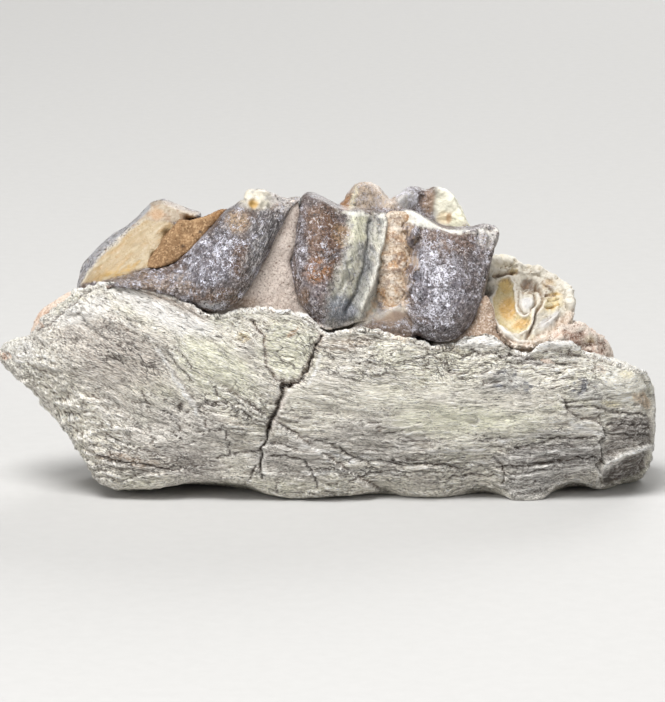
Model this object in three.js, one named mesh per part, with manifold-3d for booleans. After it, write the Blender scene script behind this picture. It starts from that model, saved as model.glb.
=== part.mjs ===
// A fossil oreodont jaw: a broken length of a right lower jaw, seen from its cheek side.
// Three cheek teeth stand in the bone, rearmost on the left: the rear molar, broken open at its back lobe,
// the whole middle molar, and one worn lobe of the front molar. Pale sediment fills the gaps between them.
//
// Millimetres. +X runs forwards along the jaw, +Y goes in from the cheek side to the tongue side, +Z is up.
// The origin is under the middle of the jaw, on the flat that it rests on.
import * as THREE from "three";
import { mergeVertices } from "three/addons/utils/BufferGeometryUtils.js";
import Module from "manifold-3d";

const wasm = await Module();
wasm.setup();

// Driving dimensions
const JAW_REAR = -26.2; // the broken tip behind the teeth
const JAW_FRONT = 25.9; // the broken end before the teeth
const MIDDLE_MOLAR_REAR = -3.15; // the middle molar's cheek side, from end to end
const MIDDLE_MOLAR_FRONT = 13.2;
const REAR_MOLAR_REAR = -20.1; // the rear molar's broken back lobe
const REAR_MOLAR_FRONT = -2.05; // and the front end of its whole lobe
const SEDIMENT_REAR = -23.4;
const SEDIMENT_FRONT = 22.3;
const FIT_GAP = 0.3; // left all round a tooth or the sediment where it sits in another piece
const CROWN_FOOT = 0.16; // the share of a crown's height over which its foot draws in

// Colours
const BONE_COLOUR = 0xcfc8b2;
const ENAMEL_COLOUR = 0x8d8580;
const WORN_TOOTH_COLOUR = 0xdcc9a0;
const SEDIMENT_COLOUR = 0xc4ae9e;
const SANDSTONE_COLOUR = 0xa37a55;

// A smooth function of x through hand-chosen [x, value] points, level beyond both ends.
function along(points) {
  const curve = new THREE.CubicInterpolant(
    points.map((point) => point[0]),
    points.map((point) => point[1]),
    1,
  );
  return (x) => curve.evaluate(x)[0];
}

// 0 up to the start and 1 from the end on, with a soft rise between. The end may lie below the start.
const ramp = (value, start, end) => THREE.MathUtils.smoothstep((value - start) / (end - start), 0, 1);

const { lerp } = THREE.MathUtils;

// Even fractions from 0 to 1, both included.
const fractions = (count) => Array.from({ length: count + 1 }, (_, i) => i / count);

// A closed geometry through rings of points, each ring with the same count, with its two ends capped.
function loft(rings) {
  const size = rings[0].length;
  const total = (ring) => ring.reduce((sum, point) => sum.add(point), new THREE.Vector3());
  const middle = (ring) => total(ring).divideScalar(size);
  const points = [...rings.flat(), middle(rings[0]), middle(rings.at(-1))];
  const firstCap = points.length - 2;
  const lastCap = points.length - 1;
  const lastRing = (rings.length - 1) * size;
  const index = [];
  for (let i = 0; i < size; i++) {
    const next = (i + 1) % size;
    for (let start = 0; start < lastRing; start += size) {
      const above = start + size;
      index.push(start + i, start + next, above + i, start + next, above + next, above + i);
    }
    index.push(firstCap, next, i, lastCap, lastRing + i, lastRing + next);
  }
  return new THREE.BufferGeometry().setFromPoints(points).setIndex(index);
}

const WELD = 1e-3; // points closer than this are one point

// A closed geometry as a solid that can be cut and joined, turned face out if it was made inside out.
function solidOf(geometry) {
  const bare = new THREE.BufferGeometry().setAttribute("position", geometry.getAttribute("position"));
  const merged = mergeVertices(bare.setIndex(geometry.index), WELD);
  const vertProperties = new Float32Array(merged.getAttribute("position").array);
  const triVerts = new Uint32Array(merged.index.array);
  const made = new wasm.Manifold(new wasm.Mesh({ numProp: 3, vertProperties, triVerts }));
  if (made.volume() > 0) return made;
  return new wasm.Manifold(new wasm.Mesh({ numProp: 3, vertProperties, triVerts: triVerts.toReversed() }));
}

const join = (solids) => solids.reduce((whole, solid) => whole.add(solid));
const cut = (solid, cutters) => cutters.reduce((whole, cutter) => whole.subtract(cutter), solid);

// The largest separate body of a solid, without the chips that a cut leaves.
const mainBody = (solid) => solid.decompose().reduce((a, b) => (a.volume() > b.volume() ? a : b));

// A solid back as geometry, with a mesh of its own.
function meshOf(name, solid, colour, roughness) {
  const made = mainBody(solid).getMesh();
  const geometry = new THREE.BufferGeometry()
    .setAttribute("position", new THREE.BufferAttribute(made.vertProperties, 3))
    .setIndex(new THREE.BufferAttribute(made.triVerts, 1));
  geometry.computeVertexNormals();
  const material = new THREE.MeshStandardMaterial({ color: colour, roughness, metalness: 0 });
  const mesh = new THREE.Mesh(geometry, material);
  mesh.name = name;
  return mesh;
}

// A form drawn as the jaw is seen from the cheek side, between a lower and an upper outline, and given depth
// by how far it stands out at the front and at the back. Both depths take x and t, which is 0 at the lower
// outline and 1 at the upper one. The far side may have outlines of its own, and the top and the underside may
// bend between the two sides. It grows by gap on every side, for the room that another piece leaves it.
function reliefForm(form, gap = 0) {
  const { from, to, steps, rows, backRows = rows, folds = 1, lower, upper, front, back } = form;
  const { lowerBack = lower, upperBack = upper } = form;
  const rings = [];
  for (const even of fractions(steps)) {
    const share = even - Math.sin(2 * Math.PI * even) / (4 * Math.PI); // stations lie closer at both ends
    const x = from + (to - from) * share;
    const grown = (t) => (t === 0 ? -gap : t === 1 ? gap : 0);
    const point = (y, z, t) => new THREE.Vector3(x + grown(even), y, z + grown(t));
    const near = (t) => point(-front(x, t) - gap, lerp(lower(x), upper(x), t), t);
    const far = (t) => point(back(x, t) + gap, lerp(lowerBack(x), upperBack(x), t), t);
    const inner = fractions(folds + 1).slice(1, -1);
    const level = () => 0;
    const between = (start, end, bend = level) =>
      inner.map((step) => start.clone().lerp(end, step).add(new THREE.Vector3(0, 0, bend(x, step))));
    rings.push([
      ...fractions(rows).map(near),
      ...between(near(1), far(1), form.crown),
      ...fractions(backRows).reverse().map(far),
      ...between(far(0), near(0), form.sole),
    ]);
  }
  return solidOf(loft(rings));
}

// Jaw bone: one length of the lower jaw, swollen on the cheek side, broken off at both ends and underneath.
const BONE_LOWER_INSET = 1.5; // how far the cheek side draws in at its lower and its upper edge
const BONE_UPPER_INSET = 1.3;
const BONE_BACK_INSET = 1.2; // and the tongue side at both of its edges
const SOLE_FALL = 0.19; // how steeply the underside falls from its front edge towards the flat
const CROWN_DIP = 0.6; // how far the top sinks between its two edges
const boneUpper = along([
  [-26.2, 11.5], [-25.4, 12.4], [-24.1, 12.8], [-23.3, 13.3], [-22.6, 14.7], [-21.4, 15.7], [-20, 16.9],
  [-18, 17.7], [-16.2, 18], [-14, 17.4], [-11.7, 16.4], [-8.8, 15.3], [-5.3, 15.8], [-2, 15.2], [0, 14.2],
  [2.6, 14.8], [5.6, 13.8], [8.5, 12.8], [12.7, 13.6], [14.8, 12.4], [17.2, 12.9], [19.4, 12.4], [22, 11.6],
  [23.3, 11.1], [24.8, 10.4], [25.5, 9.5], [25.9, 8.3],
]);
const boneLower = along([
  [-26.2, 11.1], [-24.8, 9.7], [-23.5, 8.6], [-21.6, 6.4], [-20.4, 5], [-19.1, 2.9], [-18.5, 1.7], [-17.4, 1.1],
  [-14.2, 1.1], [-10.8, 1.7], [-6.3, 1.5], [-4.8, 0.7], [-2.5, 0.3], [0, 0.6], [4.4, 1.1], [6, 0.6], [9.5, 0.6],
  [13.3, 1.1], [14.1, 0.2], [17.3, 0.3], [18.3, 1.2], [20.9, 1.2], [21.6, 0.6], [23.5, 1], [24.9, 1.2],
  [25.6, 1.9], [25.9, 3.4],
]);
const boneUpperBack = along([
  [-26.2, 11.3], [-24, 11.3], [-22.5, 12.6], [-20, 15], [-16, 15.6], [-10, 14.9], [0, 14.2], [10, 13.3],
  [16, 12.2], [19, 11.2], [21, 9.5], [23, 8.5], [25.2, 7.9], [25.9, 7],
]);
const boneLowerBack = along([
  [-26.2, 10.8], [-23, 7.4], [-20, 3.2], [-18.6, 1], [-17, 0.2], [24, 0.2], [25.4, 1.6], [25.9, 3],
]);
const boneSwell = along([
  [-26.2, 2], [-25, 3.3], [-23, 4.7], [-20, 5.9], [-16, 6.5], [-8, 6.7], [0, 6.6], [12, 6.4], [20, 6.2],
  [24, 5.6], [25.2, 4.9], [25.9, 4],
]);
const boneBack = along([
  [-26.2, 2.2], [-24.5, 3.6], [-20, 5.2], [-14, 6.3], [0, 6.9], [14, 6.7], [22, 6], [25.2, 4.6], [25.9, 3.8],
]);
const swellCrest = along([[-26.2, 0.5], [-22, 0.62], [-16, 0.66], [-10, 0.6], [-4, 0.5], [6, 0.44]]);

// The outer layer of bone has flaked off at the front end, behind a stepped edge that is given as x over z.
const LEDGE_TOP = 8;
const LEDGE_DROP = 0.6;
const ledgeEdge = along([
  [1.1, 21.3], [2.8, 21.1], [4.2, 21.7], [5.5, 22.2], [7, 21.4], [7.4, 20.2], [LEDGE_TOP, 18.8],
]);
const ledgeAt = (x, z) => (z < LEDGE_TOP ? LEDGE_DROP * ramp(x - ledgeEdge(z), -0.1, 0.4) : 0);

// Lower down at the same end a scale of bone is gone below a rising line, and the face there slopes in.
const SCALE_LINE = { x: 21.3, z: 2.6, rise: 0.46 };
const SCALE_SLOPE = 0.55;
function scaleAt(x, z) {
  const top = SCALE_LINE.z + SCALE_LINE.rise * (x - SCALE_LINE.x);
  return SCALE_SLOPE * Math.max(0, top - z) * ramp(x, SCALE_LINE.x - 0.6, SCALE_LINE.x + 0.6);
}

// Below the crest behind the rear molar the cheek side is slightly hollow.
const HOLLOW = { x: -15.5, z: 7.5, halfLength: 4.5, halfHeight: 3.6, depth: 0.6 };
function hollowAt(x, z) {
  const across = ((x - HOLLOW.x) / HOLLOW.halfLength) ** 2;
  const up = ((z - HOLLOW.z) / HOLLOW.halfHeight) ** 2;
  return HOLLOW.depth * Math.exp(-across - up);
}

// Low lumps that run slantwise over the cheek side.
const lumpsAt = (x, z) => 0.12 * Math.sin(0.9 * x + 0.7 * z) + 0.1 * Math.sin(0.55 * x - 1.3 * z + 2);

function boneFront(x, t) {
  const z = lerp(boneLower(x), boneUpper(x), t);
  const crest = swellCrest(x);
  const down = Math.max(0, crest - t) / crest;
  const up = Math.max(0, t - crest) / (1 - crest);
  const inset = BONE_LOWER_INSET * down ** 2.4 + BONE_UPPER_INSET * up ** 2;
  const thin = Math.min(1, boneSwell(x) / 6);
  return boneSwell(x) - inset * thin + lumpsAt(x, z) - hollowAt(x, z) - ledgeAt(x, z) - scaleAt(x, z);
}

function boneRear(x, t) {
  const edge = BONE_BACK_INSET * Math.abs(2 * t - 1) ** 3;
  const lumps = 0.18 * Math.sin(0.6 * x + 3 * t) + 0.12 * Math.sin(1.1 * x - 5 * t + 1);
  return boneBack(x) - edge * Math.min(1, boneBack(x) / 5) + lumps;
}

const wholeBone = reliefForm({
  from: JAW_REAR,
  to: JAW_FRONT,
  steps: 48,
  rows: 9,
  backRows: 5,
  folds: 3,
  lower: boneLower,
  lowerBack: boneLowerBack,
  upper: boneUpper,
  upperBack: boneUpperBack,
  front: boneFront,
  back: boneRear,
  crown: (x) => -CROWN_DIP * ramp(x, -25, -20) * ramp(x, 24, 20),
  sole: (x, step) => {
    const fall = SOLE_FALL * (boneSwell(x) + boneBack(x));
    return -Math.max(0, fall - boneLower(x) + boneLowerBack(x)) * (1 - step);
  },
});

// The flat that the jaw rests on, where its broken underside has been worn level.
const GROUND = { length: 80, width: 60, depth: 20 };
const groundBox = new THREE.BoxGeometry(GROUND.length, GROUND.width, GROUND.depth);
const ground = solidOf(groundBox.translate(0, 0, -GROUND.depth / 2));

// The crack down the cheek side, from the middle molar to the underside, as a wedge that follows the surface.
const CRACK_PATH = [
  [-0.2, 14.6], [-0.9, 13.1], [-1.5, 11.8], [-2, 10.6], [-2.6, 10], [-3.5, 9.7], [-3.9, 8.6], [-4.6, 6.8],
  [-5, 5.4], [-5.3, 3.9], [-5.5, 2.8], [-5.2, 1.7],
];
const CRACK_HALF_WIDTH = 0.42;
const CRACK_DEPTH = 1.3;
const CRACK_STEPS = 22;
function crackWedge() {
  const path = new THREE.SplineCurve(CRACK_PATH.map(([x, z]) => new THREE.Vector2(x, z)));
  const rings = fractions(CRACK_STEPS).map((share) => {
    const { x, y: z } = path.getPoint(share);
    const ahead = path.getTangent(share);
    const half = CRACK_HALF_WIDTH * (0.4 + 0.6 * Math.sin(Math.PI * share));
    const t = (z - boneLower(x)) / (boneUpper(x) - boneLower(x));
    const skin = -boneFront(x, THREE.MathUtils.clamp(t, 0, 1));
    const across = (side, y) => new THREE.Vector3(x + side * half * ahead.y, y, z - side * half * ahead.x);
    return [across(1, skin - 1), across(-1, skin - 1), across(0, skin + CRACK_DEPTH)];
  });
  return solidOf(loft(rings));
}

// A tooth's neck: the plain part between its crown and the bed that it stands on, rounded in plan.
function toothNeck({ from, to, low, high, reach }, gap) {
  const middle = (from + to) / 2;
  const half = (to - from) / 2;
  const width = (x) => reach * Math.max(0.02, 1 - Math.abs((x - middle) / half) ** 4) ** 0.5;
  const lower = () => low;
  const upper = () => high;
  return reliefForm({ from, to, steps: 6, rows: 1, lower, upper, front: width, back: width }, gap);
}

// How far a crown's cheek side draws in: by foot at its lower edge, and by lean from its swell up to its top.
const drawIn = (t, swell, lean, foot) =>
  lean * (Math.max(0, t - swell) / (1 - swell)) ** 1.4 + foot * ramp(t, CROWN_FOOT, 0) ** 2;

// Middle molar: two tall crescents on the cheek side, two sharper cusps on the tongue side, valleys between.
const middleCheekDepth = along([
  [-3.1, 2.7], [-2.5, 4.2], [-1.4, 5.3], [-0.2, 5.5], [1.1, 4.9], [1.9, 4.75], [2.6, 4.3], [3.5, 4.35],
  [4.4, 3.4], [5.2, 3.2], [5.9, 4.1], [7.1, 5.4], [8.8, 5.95], [10.4, 5.6], [11.8, 4.6], [12.7, 3.6],
  [13.2, 2.9],
]);
const middleCheekForm = {
  from: MIDDLE_MOLAR_REAR,
  to: MIDDLE_MOLAR_FRONT,
  steps: 26,
  rows: 7,
  upper: along([
    [-3.15, 19.6], [-2.9, 21.2], [-2.5, 22.8], [-2, 24], [-1.1, 24.1], [-0.3, 23.7], [0.6, 23.2], [2.4, 23],
    [5.2, 22.7], [6, 22.9], [7.5, 22.3], [8.7, 21.6], [11.1, 21.4], [12.5, 21.6], [13.2, 21.3],
  ]),
  lower: along([
    [-3.15, 18.7], [-2.8, 17.2], [-2.3, 15.9], [-1.3, 14.6], [-0.3, 13.9], [0.9, 13.9], [3.2, 14.7],
    [4.4, 14.7], [6.4, 13.5], [8.7, 12.9], [9.9, 13.1], [10.9, 13.8], [11.7, 14.9], [12.3, 16.5],
    [12.7, 18.6], [13.2, 20.6],
  ]),
  front: (x, t) => middleCheekDepth(x) - drawIn(t, 0.3, 1.9, 0.9),
  back: (x, t) => 0.2 - 1.3 * t,
};
// Half a turn for each of the two tongue-side cusps: it swells at its middle, and its horns turn in at both
// ends to meet the crescent before it.
const TONGUE_REAR = -2.4;
const TONGUE_FRONT = 12.1;
const CUSP_HORN = 2.3;
const CUSP_SWELL = 1.2;
const tongueTurn = (x) => (2 * Math.PI * (x - TONGUE_REAR)) / (TONGUE_FRONT - TONGUE_REAR);
const middleTongueForm = {
  from: TONGUE_REAR,
  to: TONGUE_FRONT,
  steps: 22,
  rows: 5,
  upper: along([
    [-2.4, 17.8], [-1.4, 20], [0.1, 21.9], [0.9, 22.6], [1.7, 23.8], [2.3, 24.5], [3.5, 24.5], [4.1, 24.1],
    [4.8, 23.2], [5.4, 22.8], [5.9, 23.8], [7.1, 24], [7.5, 23.7], [8.2, 24.1], [9.2, 23.9], [10.1, 23.2],
    [10.6, 22.1], [11.4, 20.2], [12.1, 17.6],
  ]),
  lower: along([
    [-2.4, 16.4], [-1, 14.6], [1.5, 13.8], [5.2, 14.6], [9, 13.8], [11.2, 14.6], [12.1, 16.2],
  ]),
  front: (x, t) => 0.3 - 1.1 * t + CUSP_HORN * Math.abs(Math.cos(tongueTurn(x))) ** 5,
  back: (x, t) => 3.1 + CUSP_SWELL * Math.abs(Math.sin(tongueTurn(x))) - drawIn(t, 0, 1.9, 0.5),
};
const middleMolar = (gap = 0) =>
  join([
    reliefForm(middleCheekForm, gap),
    reliefForm(middleTongueForm, gap),
    toothNeck({ from: -2, to: 11.6, low: 13, high: 18.6, reach: 2.9 }, gap),
  ]);

// Valley filling: the speckled crust in the cheek-side valley between the middle molar's two crescents.
const VALLEY_MIDDLE = 5.2;
const valleyFilling = () =>
  reliefForm({
    from: 4.2,
    to: 6.4,
    steps: 6,
    rows: 6,
    lower: along([[4.2, 15.6], [5.3, 15], [6.4, 15.4]]),
    upper: along([[4.2, 21.8], [5.2, 22.5], [6.4, 22.2]]),
    front: (x, t) => 4.5 - 0.9 * (x - VALLEY_MIDDLE) ** 2 - drawIn(t, 0.2, 1.7, 0),
    back: () => -1,
  });

// Rear molar: its front lobe has the whole enamel crescent, with a tail of enamel along the bone behind it. The
// back lobe is broken through, so a slope of bare dentine shows, edged by the enamel of its far side.
const rearCheekDepth = along([
  [-18.2, 4.3], [-16, 4.7], [-13.5, 4.8], [-11.5, 5.1], [-9.5, 5.8], [-8, 6], [-6.5, 5.6], [-5, 4.8],
  [-3.5, 3.8], [-2, 3],
]);
const rearCheekForm = {
  from: -18.2,
  to: REAR_MOLAR_FRONT,
  steps: 24,
  rows: 6,
  upper: along([
    [-18.2, 17.5], [-16.1, 17.9], [-14.1, 18.2], [-12.9, 18.4], [-11.7, 19.1], [-10.5, 20.3], [-9.3, 21.5],
    [-8.4, 22.7], [-7.2, 23.4], [-6.7, 24.1], [-6.2, 24.5], [-4.6, 24.4], [-4.1, 24.1], [-3.1, 23.9],
    [-2.05, 24],
  ]),
  lower: along([
    [-18.2, 17], [-16.4, 17.3], [-14.8, 17.1], [-13.3, 16.7], [-11.7, 16.1], [-10.1, 15.5], [-8.9, 15.3],
    [-7.8, 15.7], [-6.7, 16.6], [-5.8, 17.9], [-5, 19.4], [-4.2, 21.1], [-3.4, 22.6], [-2.7, 23.5],
    [-2.05, 23.8],
  ]),
  front: (x, t) => rearCheekDepth(x) - drawIn(t, 0.35, 1.7, 0.7),
  back: (x, t) => -1.6 - 0.5 * t,
};
// The dentine slopes back as it rises. The break that the sandstone fills starts at a slanting line across it.
const DENTINE_FOOT = 4.5;
const BREAK_START = -16.4;
const BREAK_LEAN = 5.8;
const BREAK_DEPTH = 3.2;
const brokenLobeForm = {
  from: REAR_MOLAR_REAR,
  to: -10.3,
  steps: 14,
  rows: 5,
  upper: along([
    [-20.1, 16.4], [-19.8, 17.6], [-19.1, 18.5], [-18.5, 19.1], [-17.2, 20.2], [-15.9, 21], [-14.6, 22.3],
    [-13.8, 23], [-13.3, 23], [-12.6, 22.7], [-11.5, 22.3], [-10.3, 21.9],
  ]),
  lower: along([[-20.1, 15.6], [-19, 15], [-16, 15], [-12, 15], [-10.3, 17]]),
  front: (x, t) => {
    const broken = BREAK_DEPTH * ramp(x - BREAK_LEAN * t, BREAK_START, BREAK_START + 0.8);
    return DENTINE_FOOT * (1 - t ** 1.1) - broken - 2.2 * ramp(x, -18.4, REAR_MOLAR_REAR);
  },
  back: (x, t) => 3.9 - 1.2 * t - 1.6 * ramp(x, -18, REAR_MOLAR_REAR),
};
const REAR_CUSP_START = -10.8;
const REAR_CUSP_END = -2.7;
const rearCuspTurn = (x) => (Math.PI * (x - REAR_CUSP_START)) / (REAR_CUSP_END - REAR_CUSP_START);
const rearTongueForm = {
  from: REAR_CUSP_START,
  to: REAR_CUSP_END,
  steps: 8,
  rows: 4,
  upper: along([[-10.8, 19.5], [-8.5, 21.3], [-6.6, 22.4], [-5.2, 22.8], [-4, 21.9], [-2.7, 18.8]]),
  lower: along([[-10.8, 15.6], [-7, 14.8], [-2.7, 16.6]]),
  front: (x, t) => 0.2 - 1.2 * t,
  back: (x, t) => 3.4 + 0.8 * Math.sin(rearCuspTurn(x)) - drawIn(t, 0, 1.2, 0.5),
};
const rearMolar = (gap = 0) =>
  join([
    reliefForm(rearCheekForm, gap),
    reliefForm(brokenLobeForm, gap),
    reliefForm(rearTongueForm, gap),
    toothNeck({ from: -18.6, to: -3.4, low: 15, high: 17.6, reach: 3.5 }, gap),
  ]);

// Sandstone filling: brown sand that set hard in the break between the rear molar's two lobes.
const sandstoneFilling = () =>
  reliefForm({
    from: -14.8,
    to: -7.5,
    steps: 9,
    rows: 4,
    lower: along([[-14.8, 17.7], [-12, 17.4], [-7.5, 20]]),
    upper: along([
      [-14.8, 18.3], [-13.8, 19.3], [-12.9, 20.6], [-12.3, 21.7], [-11.8, 22.1], [-10.2, 22.4], [-9.1, 22.7],
      [-8.3, 23.1], [-7.5, 22.9],
    ]),
    front: (x, t) => 4 - 1.6 * t + 0.2 * Math.cos((x + 10) / 2),
    back: (x, t) => 0.8 - 0.6 * t,
  });

// Front molar: one lobe is left, worn to a sloping face. Rings of enamel stand round the hollowed dentine.
const WORN_CENTRE = new THREE.Vector3(16.1, -1.5, 15.2);
const WORN_NORMAL = new THREE.Vector3(0.04, -0.57, 0.82).normalize();
const WORN_DEPTH = 4.6; // from the worn face down to its foot in the sediment
const WORN_STEPS = 22;
const WORN_RIPPLE = 0.18; // how high the folds on the worn face stand
// Its radius over the angle in degrees, counted from forwards towards the upper edge.
const wornRadius = along([
  [-180, 3.5], [-150, 4], [-120, 4.5], [-100, 4.9], [-75, 4.3], [-45, 3.9], [-15, 3.5], [10, 3.6], [35, 3.7],
  [60, 4], [90, 4.5], [115, 4.9], [135, 4.6], [160, 3.9], [180, 3.5],
]);
// Its outline from the foot up the side, over the enamel rim and in to the middle: share of the radius, height.
const WORN_RIM = -0.5;
const WORN_PROFILE = [
  [0, -WORN_DEPTH], [0.55, -WORN_DEPTH], [0.72, -3], [0.88, -1.5], [0.98, WORN_RIM], [0.98, -0.05], [0.89, 0.1],
  [0.8, -0.25], [0.64, -0.5], [0.5, -0.45], [0.4, -0.1], [0.27, 0.25], [0.13, 0.2], [0, 0.1],
];
function frontMolar(gap = 0) {
  const lift = (height) => (height >= WORN_RIM ? gap : height === -WORN_DEPTH ? -gap : 0);
  const profile = WORN_PROFILE.map(([share, height]) => new THREE.Vector2(share, height + lift(height)));
  const geometry = new THREE.LatheGeometry(profile, WORN_STEPS);
  const right = new THREE.Vector3(1, 0, 0).projectOnPlane(WORN_NORMAL).normalize();
  const uphill = WORN_NORMAL.clone().cross(right);
  const spots = geometry.getAttribute("position");
  for (let i = 0; i < spots.count; i++) {
    const angle = Math.atan2(spots.getZ(i), spots.getX(i));
    const share = Math.hypot(spots.getX(i), spots.getZ(i));
    const height = spots.getY(i);
    const radius = share * wornRadius(THREE.MathUtils.radToDeg(angle)) + gap * Math.min(1, 2 * share);
    const fold = WORN_RIPPLE * Math.sin(3 * angle + 6 * share) * Math.sin(Math.PI * Math.min(1, share));
    const place = WORN_CENTRE.clone()
      .addScaledVector(right, radius * Math.cos(angle))
      .addScaledVector(uphill, radius * Math.sin(angle))
      .addScaledVector(WORN_NORMAL, height >= WORN_RIM ? height + fold : height);
    spots.setXYZ(i, place.x, place.y, place.z);
  }
  return solidOf(geometry);
}

// Sediment: pale sandy rock along the tooth row, standing up between the teeth and lapping over the bone.
const sedimentDepth = along([
  [-23.4, 2.4], [-21, 3.9], [-19, 4.4], [-8, 4.7], [-5.4, 4.1], [-3.4, 3.6], [-2.2, 3.1], [0, 4.2], [5, 4],
  [10, 4.6], [12, 4.5], [15, 4.6], [18, 4.7], [20, 4.2], [22.3, 2.8],
]);
const sedimentBack = along([
  [-23.4, 1], [-21, 2.4], [-18, 4], [-13, 4.6], [14, 4.8], [17, 4.4], [20, 3.4], [22.3, 1.6],
]);
const sedimentForm = {
  from: SEDIMENT_REAR,
  to: SEDIMENT_FRONT,
  steps: 46,
  rows: 3,
  lower: along([[-23.4, 12], [-20, 13.2], [-9, 12.8], [0, 11.4], [10, 10.8], [16, 10.4], [22.3, 10.2]]),
  upper: along([
    [-23.4, 13.2], [-22.7, 14.6], [-21.5, 15.6], [-20.3, 16.2], [-19, 15.2], [-17, 14.7], [-10, 14.6],
    [-8.4, 15.4], [-7.4, 16.4], [-6.2, 18], [-5.3, 19.6], [-4.2, 21.3], [-3.1, 22.8], [-2.4, 23.3],
    [-1.9, 22.6], [-0.9, 14], [0.4, 12.7], [9.4, 12.6], [10.4, 14], [11.4, 16.2], [12.1, 18], [12.6, 17.8],
    [13, 14], [13.9, 12.5], [15.6, 12.2], [16.6, 12.7], [17.6, 13.1], [18.6, 13.7], [19.6, 14], [20.7, 13.3],
    [21.6, 12.7], [22.3, 11.5],
  ]),
  upperBack: along([
    [-23.4, 12.8], [-21.5, 14.6], [-20.3, 15.4], [-17, 14.7], [-8.4, 14.9], [-5.3, 17.4], [-2.9, 18],
    [-1.4, 15], [0.4, 12.7], [9.4, 12.6], [12.4, 15], [13.9, 12.5], [18.6, 12.6], [20.7, 11.8], [22.3, 10.8],
  ]),
  front: (x, t) => sedimentDepth(x) - 0.5 * t,
  back: (x, t) => sedimentBack(x) - 0.8 * t,
};

// The trench in the bone that the sediment lies in, open above.
const OPEN_TOP = 26;
const openTop = () => OPEN_TOP;
const trenchForm = { ...sedimentForm, steps: 22, rows: 1, upper: openTop, upperBack: openTop };

const middleSocket = middleMolar(FIT_GAP);
const rearSocket = rearMolar(FIT_GAP);
const sockets = [rearSocket, middleSocket, frontMolar(FIT_GAP)];
const bone = cut(wholeBone, [ground, crackWedge(), ...sockets, reliefForm(trenchForm, FIT_GAP)]);

const jaw = new THREE.Group();
jaw.add(
  meshOf("jaw_bone", bone, BONE_COLOUR, 0.85),
  meshOf("rear_molar", cut(rearMolar(), [middleSocket]), ENAMEL_COLOUR, 0.4),
  meshOf("middle_molar", middleMolar(), ENAMEL_COLOUR, 0.4),
  meshOf("front_molar", cut(frontMolar(), [middleSocket]), WORN_TOOTH_COLOUR, 0.45),
  meshOf("sediment", cut(reliefForm(sedimentForm), sockets), SEDIMENT_COLOUR, 0.95),
  meshOf("valley_filling", cut(valleyFilling(), [middleSocket]), SEDIMENT_COLOUR, 0.95),
  meshOf("sandstone_filling", cut(sandstoneFilling(), [rearSocket]), SANDSTONE_COLOUR, 0.95),
);

export default jaw;
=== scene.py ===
import math

import bmesh
import bpy
import numpy as np
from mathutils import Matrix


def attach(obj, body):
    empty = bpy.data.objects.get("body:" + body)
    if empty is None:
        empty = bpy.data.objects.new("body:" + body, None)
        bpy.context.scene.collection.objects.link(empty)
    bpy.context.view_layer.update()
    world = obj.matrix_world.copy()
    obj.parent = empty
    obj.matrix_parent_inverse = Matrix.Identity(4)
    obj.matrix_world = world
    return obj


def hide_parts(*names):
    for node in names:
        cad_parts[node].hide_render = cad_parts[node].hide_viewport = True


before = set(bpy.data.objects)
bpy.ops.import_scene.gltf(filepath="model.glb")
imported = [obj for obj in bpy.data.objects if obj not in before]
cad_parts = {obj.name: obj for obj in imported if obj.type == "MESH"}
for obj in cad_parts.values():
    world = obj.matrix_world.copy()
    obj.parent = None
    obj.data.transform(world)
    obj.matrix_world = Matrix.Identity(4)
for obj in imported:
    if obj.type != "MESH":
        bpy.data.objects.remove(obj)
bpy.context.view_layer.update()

# Jaw bone: one broken length of a lower jaw, cream to grey fossil bone that carries the teeth.
# It grew as one piece with its fibres along the jaw. Age has frayed the surface into small scales,
# dried long cracks along the fibres and opened one deep crack across the cheek side.
MM = 0.001
SIGHT_TILT = math.radians(12.0)
EYE = np.array((0.28, -322.8, 79.7))
PICTURE_FOCUS = 4125.0
PICTURE_MIDDLE = (332.5, 351.0)


def columns(*parts):
    return np.stack(parts, axis=1)


def seen(points):
    """Where points in mm fall on the picture, in picture units across and down."""
    ray = points - EYE
    depth = ray[:, 1] * math.cos(SIGHT_TILT) - ray[:, 2] * math.sin(SIGHT_TILT)
    rise = ray[:, 1] * math.sin(SIGHT_TILT) + ray[:, 2] * math.cos(SIGHT_TILT)
    across = PICTURE_MIDDLE[0] + PICTURE_FOCUS * ray[:, 0] / depth
    down = PICTURE_MIDDLE[1] - PICTURE_FOCUS * rise / depth
    return columns(across, down)


def plain_mesh(piece):
    """Turns a piece and its modifiers into one plain mesh."""
    evaluated = piece.evaluated_get(bpy.context.evaluated_depsgraph_get())
    piece.data = bpy.data.meshes.new_from_object(evaluated)
    piece.modifiers.clear()
    piece.data.name = piece.name


WELD = 1e-6
FRONT_LEAN = -0.25


def fine_copy(node, name, grid, front_twice):
    """A close-meshed copy of a CAD node on a grid in mm, with the seen side twice as fine if asked."""
    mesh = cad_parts[node].data.copy()
    mesh.materials.clear()
    work = bmesh.new()
    work.from_mesh(mesh)
    bmesh.ops.remove_doubles(work, verts=work.verts, dist=WELD)
    work.to_mesh(mesh)
    work.free()
    piece = bpy.data.objects.new(name, mesh)
    bpy.context.scene.collection.objects.link(piece)
    remesh = piece.modifiers.new("grid", "REMESH")
    remesh.mode = "VOXEL"
    remesh.voxel_size = grid * MM
    plain_mesh(piece)
    if front_twice:
        work = bmesh.new()
        work.from_mesh(piece.data)
        work.normal_update()
        edges = {edge for face in work.faces if face.normal.y < FRONT_LEAN for edge in face.edges}
        bmesh.ops.subdivide_edges(work, edges=list(edges), cuts=1, use_grid_fill=True)
        bmesh.ops.triangulate(work, faces=[face for face in work.faces if len(face.verts) > 4])
        work.to_mesh(piece.data)
        work.free()
    return piece


def numbers_of(items, name, width, kind):
    """One property of all mesh items as an array, a row for each item."""
    flat = np.empty(len(items) * width, kind)
    items.foreach_get(name, flat)
    return flat.reshape(-1, width)


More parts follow.
